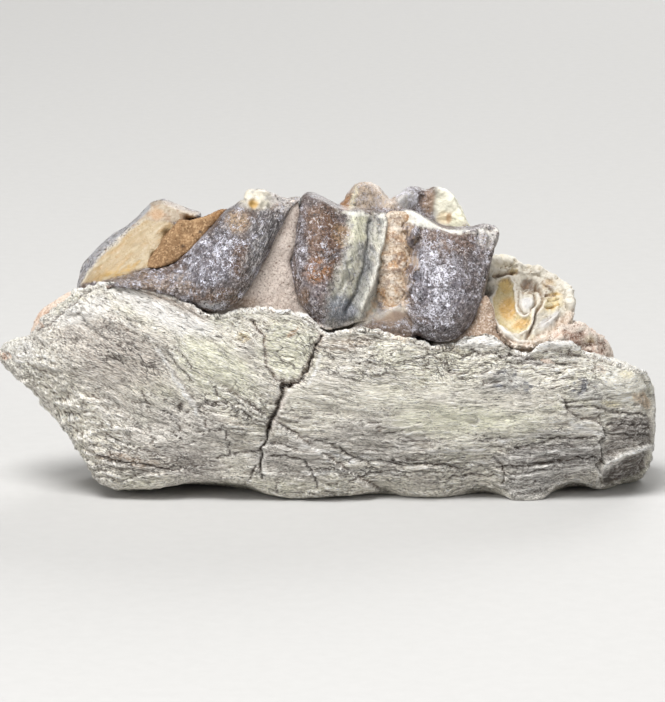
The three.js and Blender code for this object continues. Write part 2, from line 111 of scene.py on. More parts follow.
def outward(piece):
    """The direction straight out of the surface at each vertex."""
    return numbers_of(piece.data.vertex_normals, "vector", 3, np.float32).astype(float)


def put_places(piece, points):
    piece.data.vertices.foreach_set("co", (points * MM).astype(np.float32).ravel())
    piece.data.update()


def settled(points, edges, rounds):
    """The points after each has moved halfway to the middle of its neighbours, some rounds over."""
    count = len(points)
    first, second = edges.T
    share = np.bincount(edges.ravel(), minlength=count)[:, None]
    for _ in range(rounds):
        pull = columns(*(
            np.bincount(first, points[second, k], count) + np.bincount(second, points[first, k], count)
            for k in range(points.shape[1])))
        points = 0.5 * points + 0.5 * pull / share
    return points


def smooth_copy(node, name, grid, rounds, front_twice=False):
    """A smoothed close-meshed copy of a CAD node, its edges, its places in mm and its outward directions."""
    piece = fine_copy(node, name, grid, front_twice)
    edges = numbers_of(piece.data.edges, "vertices", 2, np.int32)
    places = numbers_of(piece.data.vertices, "co", 3, np.float32).astype(float) / MM
    places = settled(places, edges, rounds)
    put_places(piece, places)
    return piece, edges, places, outward(piece)


def hollows(places, edges, out, rounds):
    """How far each place lies below its smoothed surroundings, in mm."""
    return np.sum((settled(places, edges, rounds) - places) * out, axis=1)


CELL_STEPS = np.array((374761393, 668265263, 1440662683), np.uint64)
SEED_STEP = 974634
STIRS = ((13, 1274126177), (15, 2246822519))
LAST_SHIFT = 16
WORD = 0xFFFFFFFF
HALF_WORD = 2147483648.0


def wobble(places, seed):
    """Smooth noise from -1 to 1 at places given in grain sizes."""
    cell = np.floor(places).astype(np.int64)
    inside = places - cell
    ease = inside ** 3 * (inside * (inside * 6 - 15) + 10)
    total = np.zeros(len(places))
    for corner in range(8):
        step = np.array([corner & 1, corner >> 1 & 1, corner >> 2 & 1])
        mix = np.sum((cell + step).astype(np.uint64) * CELL_STEPS, axis=1) + np.uint64(seed * SEED_STEP)
        mix = mix & np.uint64(WORD)
        for shift, factor in STIRS:
            mix = (mix ^ (mix >> np.uint64(shift))) * np.uint64(factor) & np.uint64(WORD)
        value = (mix ^ (mix >> np.uint64(LAST_SHIFT))).astype(float) / HALF_WORD - 1.0
        total += value * np.prod(np.where(step, ease, 1.0 - ease), axis=1)
    return total


LAYER_STRENGTH = 1.3


def layers(places, seed, count=3):
    """Noise in several layers, each half as large and half as strong as the last."""
    parts = [wobble(places * 2.0 ** k, seed + k) * 0.5 ** k for k in range(count)]
    return np.sum(parts, axis=0) / LAYER_STRENGTH


def ease_between(low, high, value):
    t = np.clip((value - low) / (high - low), 0.0, 1.0)
    return t * t * (3.0 - 2.0 * t)


def clouds(places, size, seed, low, high):
    """Soft patches of a size in mm: 0 where layered noise is at its low value, 1 where at its high."""
    return ease_between(low, high, layers(places / size, seed))


def shaken(where, places, size, seed, reach):
    """Picture places shifted by noise of a size in mm, so that marks drawn on them have uneven borders."""
    return where + reach * columns(layers(places / size, seed), layers(places / size, seed + 10))


FAR = 1e9


def off_line(where, line):
    """How far picture places lie from a line of picture points, and on which side."""
    nearest = np.full(len(where), FAR)
    side = np.zeros(len(where))
    line = np.array(line, float)
    for start, end in zip(line[:-1], line[1:]):
        run = end - start
        offset = where - start
        share = np.clip(offset @ run / (run @ run), 0.0, 1.0)
        gap = np.hypot(*(offset - share[:, None] * run).T)
        closer = gap < nearest
        nearest = np.where(closer, gap, nearest)
        side = np.where(closer, np.sign(run[0] * offset[:, 1] - run[1] * offset[:, 0]), side)
    return nearest, side


def stroke(where, line, half):
    """1 along a line on the picture, fading to each side over half a width."""
    gap, _ = off_line(where, line)
    return np.exp(-(gap / half) ** 2)


def dot(where, middle, half):
    """1 at a point of the picture, fading round it over half a width."""
    return np.exp(-(np.hypot(*(where - middle).T) / half) ** 2)


def in_patch(where, outline, soft):
    """1 inside a closed outline on the picture and 0 outside, with a soft border."""
    outline = np.array(outline, float)
    closed = np.vstack((outline, outline[:1]))
    crossings = np.zeros(len(where), int)
    for start, end in zip(closed[:-1], closed[1:]):
        spans = (start[1] > where[:, 1]) != (end[1] > where[:, 1])
        rise = end[1] - start[1] if end[1] != start[1] else 1.0 / FAR
        meets = start[0] + (where[:, 1] - start[1]) * (end[0] - start[0]) / rise
        crossings += spans & (where[:, 0] < meets)
    gap, _ = off_line(where, closed)
    return ease_between(-soft, soft, np.where(crossings % 2 == 1, gap, -gap))


SPOT_CORE = 0.45


def in_spot(where, middle, reach, turn=0.0):
    """1 in the core of an oval spot on the picture, falling to 0 at its reach."""
    offset = where - np.array(middle, float)
    c, s = math.cos(math.radians(turn)), math.sin(math.radians(turn))
    u = (offset[:, 0] * c + offset[:, 1] * s) / reach[0]
    v = (offset[:, 1] * c - offset[:, 0] * s) / reach[1]
    return 1.0 - ease_between(SPOT_CORE, 1.0, np.hypot(u, v))


def in_corner(where, across, down):
    """1 past two soft borders on the picture, each given by the places where it starts and ends."""
    return ease_between(*across, where[:, 0]) * ease_between(*down, where[:, 1])


def raised(values, where, mask, spots):
    """The values, raised to each spot's share inside the mask. A spot is middle, reach, turn, share."""
    for middle, reach, turn, share in spots:
        values = np.maximum(values, share * mask * in_spot(where, middle, reach, turn))
    return values


def colour(red, green, blue):
    """A colour as a screen shows it, 0 to 255, in linear light."""
    c = np.array((red, green, blue), float) / 255.0
    return np.where(c <= 0.04045, c / 12.92, ((c + 0.055) / 1.055) ** 2.4)


def paint(coat, mask, shade):
    """Lays a shade over the coat of colour where the mask says."""
    coat += np.clip(mask, 0.0, 1.0)[:, None] * (shade - coat)


def paint_spots(coat, where, mask, spots):
    """Paints oval spots inside the mask. A spot is middle, reach, turn in degrees, shade and share."""
    for middle, reach, turn, shade, share in spots:
        paint(coat, share * mask * in_spot(where, middle, reach, turn), shade)


def paint_strokes(coat, where, mask, strokes):
    """Paints lines inside the mask. A stroke is half its width, its share, its shade and its line."""
    for half, share, shade, line in strokes:
        paint(coat, share * mask * stroke(where, line, half), shade)


def keep(piece, name, kind, entry, values):
    layer = piece.data.attributes.new(name, kind, "POINT")
    layer.data.foreach_set(entry, values.astype(np.float32).ravel())


def keep_coat(piece, coat):
    full = np.ones((len(coat), 4))
    full[:, :3] = np.clip(coat, 0.0, 1.0)
    keep(piece, "tint", "FLOAT_COLOR", "color", full)


def keep_value(piece, name, values):
    keep(piece, name, "FLOAT", "value", values)


def keep_vector(piece, name, vectors):
    keep(piece, name, "FLOAT_VECTOR", "vector", vectors)


def smooth_faces(piece):
    piece.data.polygons.foreach_set("use_smooth", np.ones(len(piece.data.polygons), bool))
    piece.data.update()


def add(tree, kind, sockets=None, **settings):
    """Adds a shader node. A socket takes a value, or the socket that feeds it."""
    made = tree.nodes.new("ShaderNode" + kind)
    for name, value in settings.items():
        setattr(made, name, value)
    for name, value in (sockets or {}).items():
        if isinstance(value, bpy.types.NodeSocket):
            tree.links.new(value, made.inputs[name])
        else:
            made.inputs[name].default_value = value
    return made


def held(tree, name, output="Fac"):
    return add(tree, "Attribute", attribute_name=name).outputs[output]


def spread(tree, vector, per_mm):
    """A vector in mm stretched to so many pattern cells per mm along each axis."""
    return add(tree, "VectorMath", {0: vector, 1: per_mm}, operation="MULTIPLY").outputs[0]


def speckle(tree, vector, scale, detail=3.0, roughness=0.6, distortion=0.0):
    sockets = {"Vector": vector, "Scale": scale, "Detail": detail, "Roughness": roughness,
               "Distortion": distortion}
    return add(tree, "TexNoise", sockets).outputs[0]


def between(tree, value, low, high, to_low=0.0, to_high=1.0):
    sockets = {"Value": value, "From Min": low, "From Max": high, "To Min": to_low, "To Max": to_high}
    return add(tree, "MapRange", sockets).outputs[0]


def sums(tree, operation, first, second):
    return add(tree, "Math", {0: first, 1: second}, operation=operation).outputs[0]


def times(tree, first, second):
    return sums(tree, "MULTIPLY", first, second)


def off_middle(tree, pattern):
    """How far a pattern from 0 to 1 is from its middle."""
    offset = sums(tree, "SUBTRACT", pattern, 0.5)
    return add(tree, "Math", {0: offset}, operation="ABSOLUTE").outputs[0]


def blend(tree, share, under, over, how="MIX"):
    sockets = {"Fac": share, "Color1": under, "Color2": over}
    return add(tree, "MixRGB", sockets, blend_type=how, use_clamp=True).outputs[0]


def lay_over(tree, skin, shade, pattern, low, high, share, within=None, how="MIX"):
    """Lays a shade over the skin as a pattern goes from low to high, up to a share, within a mask."""
    amount = between(tree, pattern, low, high, 0.0, share)
    if within is not None:
        amount = times(tree, amount, within)
    return blend(tree, amount, skin, shade, how)


def tone(red, green, blue):
    return (*colour(red, green, blue), 1.0)


def new_finish(name):
    """An empty material: its tree, its main shader and the object's own coordinates in mm."""
    finish = bpy.data.materials.new(name)
    finish.use_nodes = True
    tree = finish.node_tree
    own = add(tree, "TexCoord").outputs["Object"]
    return finish, tree, tree.nodes["Principled BSDF"], spread(tree, own, (1.0 / MM,) * 3)


def dress_shader(tree, shader, skin, roughness, specular, height, depth_mm, strength=1.0):
    """Feeds the main shader its colour, roughness and bumps, and sets its specular level."""
    tree.links.new(skin, shader.inputs["Base Color"])
    tree.links.new(roughness, shader.inputs["Roughness"])
    shader.inputs["Specular IOR Level"].default_value = specular
    bump = add(tree, "Bump", {"Height": height, "Distance": depth_mm * MM, "Strength": strength})
    tree.links.new(bump.outputs[0], shader.inputs["Normal"])


BONE_GRID = 0.27
BONE_ROUNDS = 16
BONE_SWELL = 0.12
bone, bone_edges, bone_places, bone_out = smooth_copy(
    "jaw_bone", "fossil_bone", BONE_GRID, BONE_ROUNDS, front_twice=True)
bone_places = bone_places + BONE_SWELL * bone_out
# Lumps of bone stand up along the rim under the front molar: middle and reach on the picture, lift in mm.
RIM_LUMPS = (
    ((480, 346), (30, 14), 0.30),
    ((553, 348), (36, 15), 0.60),
    ((516, 350), (14, 9), 0.25),
)
bone_seen = seen(bone_places)
for middle, reach, lift in RIM_LUMPS:
    bone_places[:, 2] += lift * in_spot(bone_seen, middle, reach) * ease_between(0.3, -0.5, bone_out[:, 1])
bone_seen = seen(bone_places)
# Under the middle molar the rim dips and leaves the tooth's lip bare.
RIM_DIP = ((368, 324), (62, 22))
RIM_DIP_DEPTH = 0.6
rim_dip = in_spot(bone_seen, *RIM_DIP) * ease_between(-1.0, -3.0, bone_places[:, 1])
bone_places[:, 2] -= RIM_DIP_DEPTH * rim_dip
bone_seen = seen(bone_places)
bone_front = ease_between(0.15, 0.5, -bone_out[:, 1])
bone_back = ease_between(0.15, 0.5, bone_out[:, 1])
bone_top = ease_between(0.2, 0.6, bone_out[:, 2]) * ease_between(-1.0, -3.5, bone_places[:, 1])
bone_near = np.maximum(bone_front, bone_top)

# The fibres fall from left to right at the left end and lie level at the right end: place in mm, slope.
FIBRE_SLOPES = (
    (-27, 0.42), (-12, 0.48), (-3, 0.40), (1, 0.27), (6, 0.12), (11, 0.03), (18, -0.03), (27, -0.06),
)
FIBRE_START = -12.0
FIBRE_HALF_LENGTH = 28.0
FIBRE_STEPS = 400
fibre_x = np.linspace(-FIBRE_HALF_LENGTH, FIBRE_HALF_LENGTH, FIBRE_STEPS)
fibre_fall = np.cumsum(np.interp(fibre_x, *zip(*FIBRE_SLOPES))) * (fibre_x[1] - fibre_x[0])
fibre_fall -= np.interp(FIBRE_START, fibre_x, fibre_fall)
bone_x, bone_y, bone_z = bone_places.T
fall = np.interp(bone_x, fibre_x, fibre_fall) * (0.25 + 0.75 * ease_between(2.0, 10.0, bone_z))
bone_grain = columns(bone_x, bone_z + fall, bone_y)

# Sizes of the relief in mm along the fibres, across them and into the bone.
LUMP_SIZE = (3.4, 1.3, 2.2)
SCALE_SIZE = (1.7, 0.50, 0.9)
BROAD_SCALE_SIZE = (3.6, 1.1, 1.8)
LOWER_LEFT_SIZE = (2.4, 0.8, 1.2)
THREAD_SIZE = (0.8, 0.23, 0.4)
SPLIT_SIZE = (8.0, 1.5, 2.2)
BONE_GRIT = 0.33
SMOOTHER_SPOTS = (((455, 404), (140, 46), 0.5), ((140, 385), (150, 100), 0.45))
EVEN_END = ((596.0, 622.0), (416.0, 400.0))
LOWER_LEFT = ((160.0, 90.0), (372.0, 404.0))
LEFT_BREAK = (112.0, 70.0)
bend = 0.9 * layers(bone_grain / 2.5, 11)
wavy_grain = bone_grain + columns(bend, 0.30 * bend, 0.30 * bend)
lumps = layers(wavy_grain / LUMP_SIZE, 21)
scales = np.abs(layers(wavy_grain / SCALE_SIZE, 31))
threads = np.abs(layers(wavy_grain / THREAD_SIZE, 41, 2))
bone_grit = layers(bone_places / BONE_GRIT, 47, 2)
rough_share = 0.45 + 0.55 * ease_between(-0.4, 0.4, wobble(bone_grain / (6.0, 3.0, 4.0), 51))
even_end = in_corner(bone_seen, *EVEN_END)
rough_share *= 1.0 - 0.7 * even_end
for middle, reach, share in SMOOTHER_SPOTS:
    rough_share *= 1.0 - share * bone_front * in_spot(bone_seen, middle, reach)
relief = 0.11 * lumps + rough_share * (0.25 * scales + 0.15 * threads) + 0.03 * bone_grit - 0.09
# The far side is meshed more widely and takes broad scales instead of fine ones.
broad_scales = np.abs(layers(wavy_grain / BROAD_SCALE_SIZE, 33, 2))
relief += bone_back * (0.16 * lumps + 0.34 * rough_share * broad_scales - 0.09 - relief)
lower_left = in_corner(bone_seen, *LOWER_LEFT)
relief += lower_left * (0.30 * np.abs(layers(wavy_grain / LOWER_LEFT_SIZE, 36)) - 0.12)
relief += even_end * 0.16 * layers(bone_places / (1.8, 1.4, 1.0), 38)
splits = np.exp(-(layers(wavy_grain / SPLIT_SIZE, 61) / 0.030) ** 2)
split_share = ease_between(0.0, 0.4, wobble(bone_grain / (4.0, 2.0, 3.0), 71))
relief -= 0.17 * splits * split_share
# The broken left end and the upper rim are ragged.
left_break = ease_between(*LEFT_BREAK, bone_seen[:, 0])
left_break *= ease_between(0.1, 0.6, -bone_out[:, 0] - 0.6 * bone_out[:, 2])
left_rough = 0.26 * layers(bone_places / (1.6, 1.6, 0.7), 76) + 0.05 * layers(bone_places / 0.45, 78)
rim_rough = 0.20 * layers(bone_places / 0.9, 79) + 0.07 * layers(bone_places / 0.35, 80)
relief += left_break * left_rough + ease_between(0.3, 0.75, bone_out[:, 2]) * rim_rough

# Above the crest that crosses the upper left the surface leans back.
CREST = ((40, 318), (60, 308), (90, 312), (120, 320), (145, 333), (165, 350), (198, 372))
CREST_LEAN = 0.013
CREST_REACH = 32.0
gap, side = off_line(bone_seen, CREST)
relief -= CREST_LEAN * bone_front * np.clip(-side * gap, 0.0, CREST_REACH)

# Lines are picture points. A crack has half its width in picture units and its depth in mm.
CRACKS = (
    (0.9, 0.45, ((325, 330), (323, 336), (317, 344), (312, 358), (305, 372), (303, 380), (297, 384),
                 (291, 384))),
    (1.5, 0.7, ((291, 384), (284, 386), (283, 396), (278, 404), (277, 412), (271, 420), (268, 430))),
    (0.9, 0.5, ((268, 430), (266, 438), (261, 448), (262, 458), (260, 466), (262, 478))),
    (1.0, 0.18, ((284, 382), (275, 378), (273, 370), (267, 366), (266, 354), (263, 334), (253, 322))),
    (0.9, 0.25, ((271, 456), (303, 460), (311, 470), (317, 486))),
    (0.9, 0.22, ((333, 446), (355, 462), (407, 466), (445, 468), (470, 474))),
    (0.8, 0.18, ((282, 428), (300, 436), (333, 446))),
    (0.8, 0.18, ((215, 458), (239, 453), (259, 452))),
    (0.8, 0.16, ((226, 430), (230, 456))),
    (0.9, 0.20, ((243, 486), (250, 478), (255, 468))),
    (0.8, 0.16, ((215, 386), (219, 398))),
    (0.9, 0.20, ((164, 348), (176, 364), (192, 382))),
    (0.8, 0.18, ((175, 347), (192, 369))),
    (0.8, 0.18, ((210, 382), (219, 396))),
    (0.8, 0.16, ((205, 402), (222, 403), (245, 404))),
    (1.0, 0.22, ((568, 406), (590, 408), (610, 411), (626, 414), (652, 415))),
    (1.0, 0.26, ((498, 470), (520, 468), (542, 466), (570, 464), (598, 460))),
    (0.9, 0.22, ((516, 450), (538, 446), (558, 440), (596, 438))),
    (0.9, 0.20, ((493, 461), (499, 467), (503, 476), (500, 487))),
    (0.8, 0.20, ((504, 480), (520, 476), (545, 472))),
    (0.8, 0.20, ((606, 424), (630, 426), (652, 425))),
    (0.8, 0.18, ((608, 434), (630, 437), (654, 436))),
    (0.8, 0.16, ((430, 352), (444, 360), (452, 372))),
    (0.8, 0.16, ((404, 364), (424, 356), (448, 350), (470, 356))),
    (1.6, 0.30, ((500, 357), (520, 353), (545, 360), (566, 364))),
    (0.9, 0.20, ((508, 363), (530, 361), (556, 368))),
    (0.8, 0.16, ((512, 368), (530, 369), (548, 374))),
    (0.9, 0.22, ((470, 350), (484, 354), (498, 352))),
    (0.9, 0.20, ((96, 455), (120, 462), (150, 466), (172, 472))),
    (0.8, 0.13, ((38, 330), (58, 317), (76, 300), (92, 285))),
    (0.8, 0.14, ((448, 370), (462, 374), (490, 372))),
    (0.8, 0.16, ((350, 480), (380, 476), (410, 480))),
    (0.8, 0.16, ((446, 482), (470, 478), (496, 480))),
    # The last two cracks follow the first ledge: each is cut into the relief, and its dark paint is also
    # painted shadow along the ledge.
    (1.2, 0.26, ((568, 405), (571, 413), (579, 419), (597, 422), (607, 429), (610, 438), (602, 443))),
    (1.2, 0.26, ((603, 452), (605, 460), (599, 468), (603, 476))),
)
# The far side has cracks of its own, placed as if seen through the jaw.
BACK_CRACKS = (
    (2.2, 0.26, ((300, 322), (308, 350), (300, 382), (314, 412), (308, 446), (318, 486))),
    (2.0, 0.18, ((96, 352), (150, 372), (214, 380), (262, 398))),
    (2.0, 0.18, ((312, 410), (380, 408), (452, 414), (520, 408))),
    (2.0, 0.15, ((92, 414), (150, 428), (212, 430), (250, 440))),
    (2.0, 0.18, ((420, 444), (486, 452), (560, 446), (610, 450))),
    (2.0, 0.16, ((170, 458), (240, 462), (306, 456))),
    (2.0, 0.15, ((360, 372), (420, 366), (480, 374))),
)
# A ledge stands proud, by a height in mm, on the side that lies to the right of its line as drawn.
LEDGES = (
    (0.35, ((566, 404), (570, 412), (578, 418), (596, 421), (606, 428), (609, 438), (600, 442), (602, 452),
            (604, 460), (598, 468), (602, 476), (601, 486))),
    (0.20, ((158, 350), (176, 378), (198, 412), (205, 424))),
    (0.25, ((655, 448), (642, 451), (626, 456), (610, 464), (602, 474))),
    (0.18, ((128, 480), (150, 474), (172, 472), (200, 466))),
    (0.15, ((262, 440), (300, 452), (340, 458))),
)
BACK_LEDGES = (
    (0.5, ((566, 350), (552, 384), (560, 420), (546, 460), (552, 488))),
    (0.4, ((176, 342), (196, 372), (188, 404), (204, 440))),
)
# A ridge has half its width in picture units, its height in mm and its line.
RIDGES = (
    (6.0, 0.40, ((460, 344), (482, 341), (502, 346))),
    (6.0, 0.50, ((532, 349), (556, 343), (580, 345))),
    (2.0, 0.12, ((60, 310), (90, 314), (120, 322), (145, 334), (165, 350))),
    (1.4, 0.10, ((158, 350), (178, 382), (198, 412))),
    (2.8, 0.42, ((602, 473), (610, 463), (626, 455), (642, 450), (656, 447))),
    (3.0, 0.14, ((54, 404), (80, 400), (112, 404))),
    (3.0, 0.14, ((70, 420), (96, 414), (124, 416))),
    (3.0, 0.12, ((84, 436), (110, 428), (140, 430))),
)
PITS = (
    (4.0, 0.30, (179, 408)), (3.0, 0.22, (243, 338)), (2.5, 0.2, (381, 428)), (2.2, 0.2, (187, 412)),
    (2.0, 0.2, (500, 374)), (2.0, 0.2, (512, 381)), (2.4, 0.2, (520, 388)), (2.0, 0.2, (506, 388)),
    (2.2, 0.2, (572, 386)), (2.2, 0.2, (582, 392)), (2.0, 0.2, (590, 384)), (2.4, 0.2, (496, 384)),
)
CRACK_SPREAD = 1.15
LEDGE_REACH = 9.0
LEDGE_EDGE = 1.2
shake = 1.6 * columns(wobble(bone_places / 0.5, 81), wobble(bone_places / 0.5, 82))
shake += 0.8 * columns(wobble(bone_places / 0.22, 83), wobble(bone_places / 0.22, 84))
bone_marked = bone_seen + shake
crack_dark = np.zeros(len(bone_places))
broken_back = bone_back * ease_between(-0.3, 0.35, wobble(bone_places / 1.3, 86))
for face, cracks in ((bone_front, CRACKS), (broken_back, BACK_CRACKS)):
    for half, depth, line in cracks:
        cut = face * stroke(bone_marked, line, half * CRACK_SPREAD)
        relief -= depth * cut
        crack_dark = np.maximum(crack_dark, cut * min(0.95, 0.50 + depth))
for face, ledges in ((bone_front, LEDGES), (bone_back, BACK_LEDGES)):
    for height, line in ledges:
        gap, side = off_line(bone_marked, line)
        step = np.where(side > 0, 0.5, -0.5) * np.exp(-(gap / LEDGE_REACH) ** 2)
        relief += face * height * step * ease_between(0.0, LEDGE_EDGE, gap)
for half, height, line in RIDGES:
    relief += bone_front * height * stroke(bone_marked, line, half)
for half, depth, middle in PITS:
    relief -= bone_front * depth * dot(bone_marked, middle, half)

# The underside stays flat where the jaw rests.
resting = ease_between(0.05, 0.5, bone_places[:, 2])
bone_final = bone_places + (relief * resting)[:, None] * bone_out
bone_final[:, 2] = np.maximum(bone_final[:, 2], 0.0)
put_places(bone, bone_final)
bone_out = outward(bone)
bone_seen = seen(bone_final)
bone_marked = bone_seen + shake

BONE_CREAM = colour(230, 224, 208)
BONE_WHITE = colour(252, 248, 242)
BONE_GREY = colour(184, 178, 174)
BONE_PINK_GREY = colour(200, 187, 180)
BONE_GREEN = colour(226, 225, 196)
BONE_CREVICE_SHADE = colour(96, 82, 70)
BONE_FLAKE = colour(58, 49, 45)
BONE_BAND = colour(124, 117, 111)
BONE_BLUE = colour(92, 98, 112)
BONE_STAIN = colour(140, 112, 88)
BONE_CRACK = colour(62, 46, 36)
# Tints of the near side and the far side: middle, reach, turn, shade and share.
TINTS = (
    ((110, 350), (90, 46), 25, BONE_PINK_GREY, 0.6),
    ((170, 430), (95, 34), 12, BONE_GREY, 0.62),
    ((160, 462), (80, 20), 4, colour(166, 158, 152), 0.75),
    ((95, 380), (60, 22), 35, colour(176, 168, 158), 0.6),
    ((160, 305), (85, 22), 28, BONE_WHITE, 0.9),
    ((80, 312), (40, 16), -20, BONE_WHITE, 0.7),
    ((20, 352), (22, 20), 0, BONE_WHITE, 0.6),
    ((215, 368), (60, 34), 30, BONE_GREEN, 0.75),
    ((290, 350), (42, 38), 20, BONE_GREEN, 0.7),
    ((290, 460), (60, 34), 0, BONE_GREY, 0.6),
    ((380, 440), (70, 26), 8, BONE_GREY, 0.55),
    ((350, 400), (80, 22), 12, BONE_CREAM, 0.6),
    ((450, 420), (80, 22), 0, BONE_GREEN, 0.6),
    ((90, 425), (50, 24), 0, BONE_CREAM, 0.6),
    ((556, 460), (70, 28), -4, colour(122, 120, 121), 0.85),
    ((530, 486), (48, 16), 0, colour(136, 135, 136), 0.8),
    ((590, 392), (28, 14), 10, colour(182, 182, 182), 0.6),
    ((510, 382), (30, 15), 10, colour(180, 182, 184), 0.6),
    ((625, 384), (36, 26), 20, colour(246, 241, 226), 0.95),
    ((556, 344), (30, 7), -4, BONE_WHITE, 0.9),
    ((482, 342), (24, 6), -4, BONE_WHITE, 0.8),
    # The dark grey oval under the rim lumps is painted shadow beneath them.
    ((530, 360), (32, 6), 8, colour(132, 128, 126), 0.8),
    ((423, 451), (12, 9), 0, colour(140, 126, 100), 0.65),
    ((381, 428), (7, 4), 0, colour(142, 118, 92), 0.7),
    ((243, 338), (7, 6), 0, colour(214, 190, 128), 0.8),
    ((610, 404), (12, 6), 15, colour(214, 200, 150), 0.6),
    ((626, 376), (12, 6), 0, colour(214, 202, 158), 0.5),
    ((642, 401), (12, 9), 20, colour(200, 164, 118), 0.7),
    ((599, 370), (8, 6), 0, colour(205, 182, 162), 0.6),
    ((6, 357), (6, 7), 60, colour(226, 176, 146), 0.8),
    ((38, 327), (6, 6), 60, colour(220, 172, 138), 0.7),
    ((352, 342), (34, 9), -8, colour(150, 128, 104), 0.6),
    ((398, 333), (22, 9), 22, colour(206, 170, 124), 0.8),
    ((294, 331), (9, 3), -20, colour(196, 152, 104), 0.8),
    ((156, 290), (50, 11), 20, colour(184, 160, 138), 0.85),
    ((196, 309), (24, 10), 24, colour(150, 132, 116), 0.8),
    ((262, 308), (44, 5), 0, colour(206, 180, 150), 0.7),
    ((128, 460), (50, 7), 12, colour(146, 118, 86), 0.8),
    ((630, 432), (28, 17), 0, colour(128, 121, 116), 0.9),
    ((445, 348), (22, 6), 0, colour(190, 160, 124), 0.5),
)
BACK_TINTS = (
    ((150, 386), (100, 44), 10, BONE_GREY, 0.75),
    ((330, 390), (90, 40), 0, BONE_GREEN, 0.75),
    ((500, 400), (90, 44), 0, BONE_PINK_GREY, 0.75),
    ((596, 430), (56, 44), 0, colour(140, 134, 128), 0.75),
    ((250, 456), (90, 26), 0, colour(158, 153, 146), 0.7),
    ((430, 352), (90, 22), 0, BONE_WHITE, 0.85),
    ((190, 340), (60, 20), 20, BONE_WHITE, 0.75),
    ((410, 464), (60, 18), 0, colour(150, 140, 128), 0.6),
)
bone_coat = np.tile(BONE_CREAM, (len(bone_places), 1))
bone_cloud = layers(bone_grain / (5.0, 3.0, 4.0), 101)
paint(bone_coat, 0.5 * ease_between(0.0, 0.7, bone_cloud), BONE_GREY)
paint(bone_coat, 0.5 * ease_between(0.0, 0.7, -bone_cloud), BONE_GREEN)
tint_seen = shaken(bone_seen, bone_places, 1.5, 111, 5.0)
paint_spots(bone_coat, tint_seen, bone_near, TINTS)
paint_spots(bone_coat, tint_seen, bone_back, BACK_TINTS)

# At the right end a flake has broken off and left a brown scar under a dark band.
BROWN_FLAKE = ((602, 475), (610, 465), (626, 457), (642, 452), (655, 450), (652, 474), (630, 490), (602, 496))
DARK_BAND = ((608, 418), (652, 418), (658, 446), (640, 448), (624, 454), (606, 464), (604, 450), (611, 438))
DULL_SPOTS = (((556, 460), (70, 28), -4, 0.3),)
flake = in_patch(bone_marked, BROWN_FLAKE, 2.0)
band = in_patch(bone_marked, DARK_BAND, 2.5)
paint(bone_coat, 0.95 * bone_front * flake, BONE_FLAKE)
paint(bone_coat, 0.8 * bone_front * band, BONE_BAND)
keep_value(bone, "dull", bone_front * raised(np.maximum(flake, 0.3 * band), tint_seen, 1.0, DULL_SPOTS))

# Where the bone is calm its fibres are fainter: middle, reach, turn and share.
CALM_SPOTS = (
    ((455, 408), (120, 36), 0, 0.8),
    ((215, 366), (60, 34), 30, 0.7),
    ((290, 350), (40, 34), 0, 0.7),
    ((350, 392), (80, 26), 10, 0.7),
    ((625, 384), (36, 26), 20, 0.8),
    ((556, 344), (30, 9), 0, 0.7),
    ((482, 342), (26, 8), 0, 0.7),
    ((160, 306), (84, 24), 28, 1.0),
    ((84, 314), (36, 16), -20, 0.9),
)
BACK_CALM_SPOTS = (
    ((330, 390), (100, 44), 0, 0.8),
    ((430, 352), (90, 22), 0, 0.9),
    ((190, 350), (60, 30), 20, 0.8),
)
calm = raised(np.zeros(len(bone_places)), tint_seen, bone_near, CALM_SPOTS)
calm = raised(calm, tint_seen, bone_back, BACK_CALM_SPOTS)
# Hollows, small and broad, are darkened with painted shade, and raised places are lightened with a painted
# highlight.
sunk = hollows(bone_final, bone_edges, bone_out, 5)
deep_sunk = hollows(bone_final, bone_edges, bone_out, 22)
paint(bone_coat, 0.55 * ease_between(0.0, 0.05, -sunk), BONE_WHITE)
crevices = (0.9 - 0.5 * calm) * (1.0 - 0.5 * bone_back)
paint(bone_coat, crevices * ease_between(0.007, 0.055, sunk), BONE_CREVICE_SHADE)
paint(bone_coat, (0.5 - 0.35 * calm) * ease_between(0.03, 0.2, deep_sunk), BONE_CREVICE_SHADE)

# Rims and streaks where the bone has broken to a pale edge: half the width, the share of white and the line.
PALE_RIMS = (
    (3.0, 1.0, ((601, 474), (611, 462), (627, 454), (642, 449), (657, 446))),
    (2.8, 0.9, ((656, 447), (655, 466), (648, 480))),
    (3.2, 0.8, ((460, 343), (482, 339), (498, 342))),
    (3.2, 0.75, ((536, 346), (550, 341), (564, 341))),
    (2.0, 0.9, ((158, 350), (178, 382), (198, 412))),
    (2.6, 0.95, ((570, 424), (590, 430), (606, 436))),
    (2.2, 0.9, ((352, 462), (367, 455), (376, 458))),
    (2.0, 0.9, ((300, 446), (330, 452), (350, 460))),
    (2.0, 0.9, ((283, 398), (279, 412), (273, 424))),
    (2.0, 0.9, ((320, 356), (314, 372), (309, 384))),
    (1.6, 0.8, ((470, 464), (510, 458), (556, 452), (598, 447))),
    (1.6, 0.8, ((500, 477), (530, 475), (565, 471), (597, 467))),
    (1.6, 0.7, ((500, 442), (545, 434), (590, 431))),
    (1.6, 0.7, ((508, 492), (540, 487), (580, 480))),
    (1.6, 0.7, ((300, 474), (350, 470), (400, 474))),
    (1.6, 0.7, ((396, 446), (440, 452), (486, 450))),
)
showing = ease_between(-0.05, 0.15, 0.2 * bone_out[:, 2] - bone_out[:, 1])
for half, share, line in PALE_RIMS:
    pale = share * showing * stroke(bone_marked, line, half)
    paint(bone_coat, pale, BONE_WHITE)
    calm = np.maximum(calm, pale)
BLUE_SPOTS = (((512, 382), (36, 17), 10, BONE_BLUE, 0.9), ((585, 388), (30, 13), 10, BONE_BLUE, 0.9))
blue_pores = ease_between(0.18, 0.36, wobble(bone_places / (0.42, 0.4, 0.28), 126))
paint_spots(bone_coat, bone_marked, bone_near * blue_pores, BLUE_SPOTS)
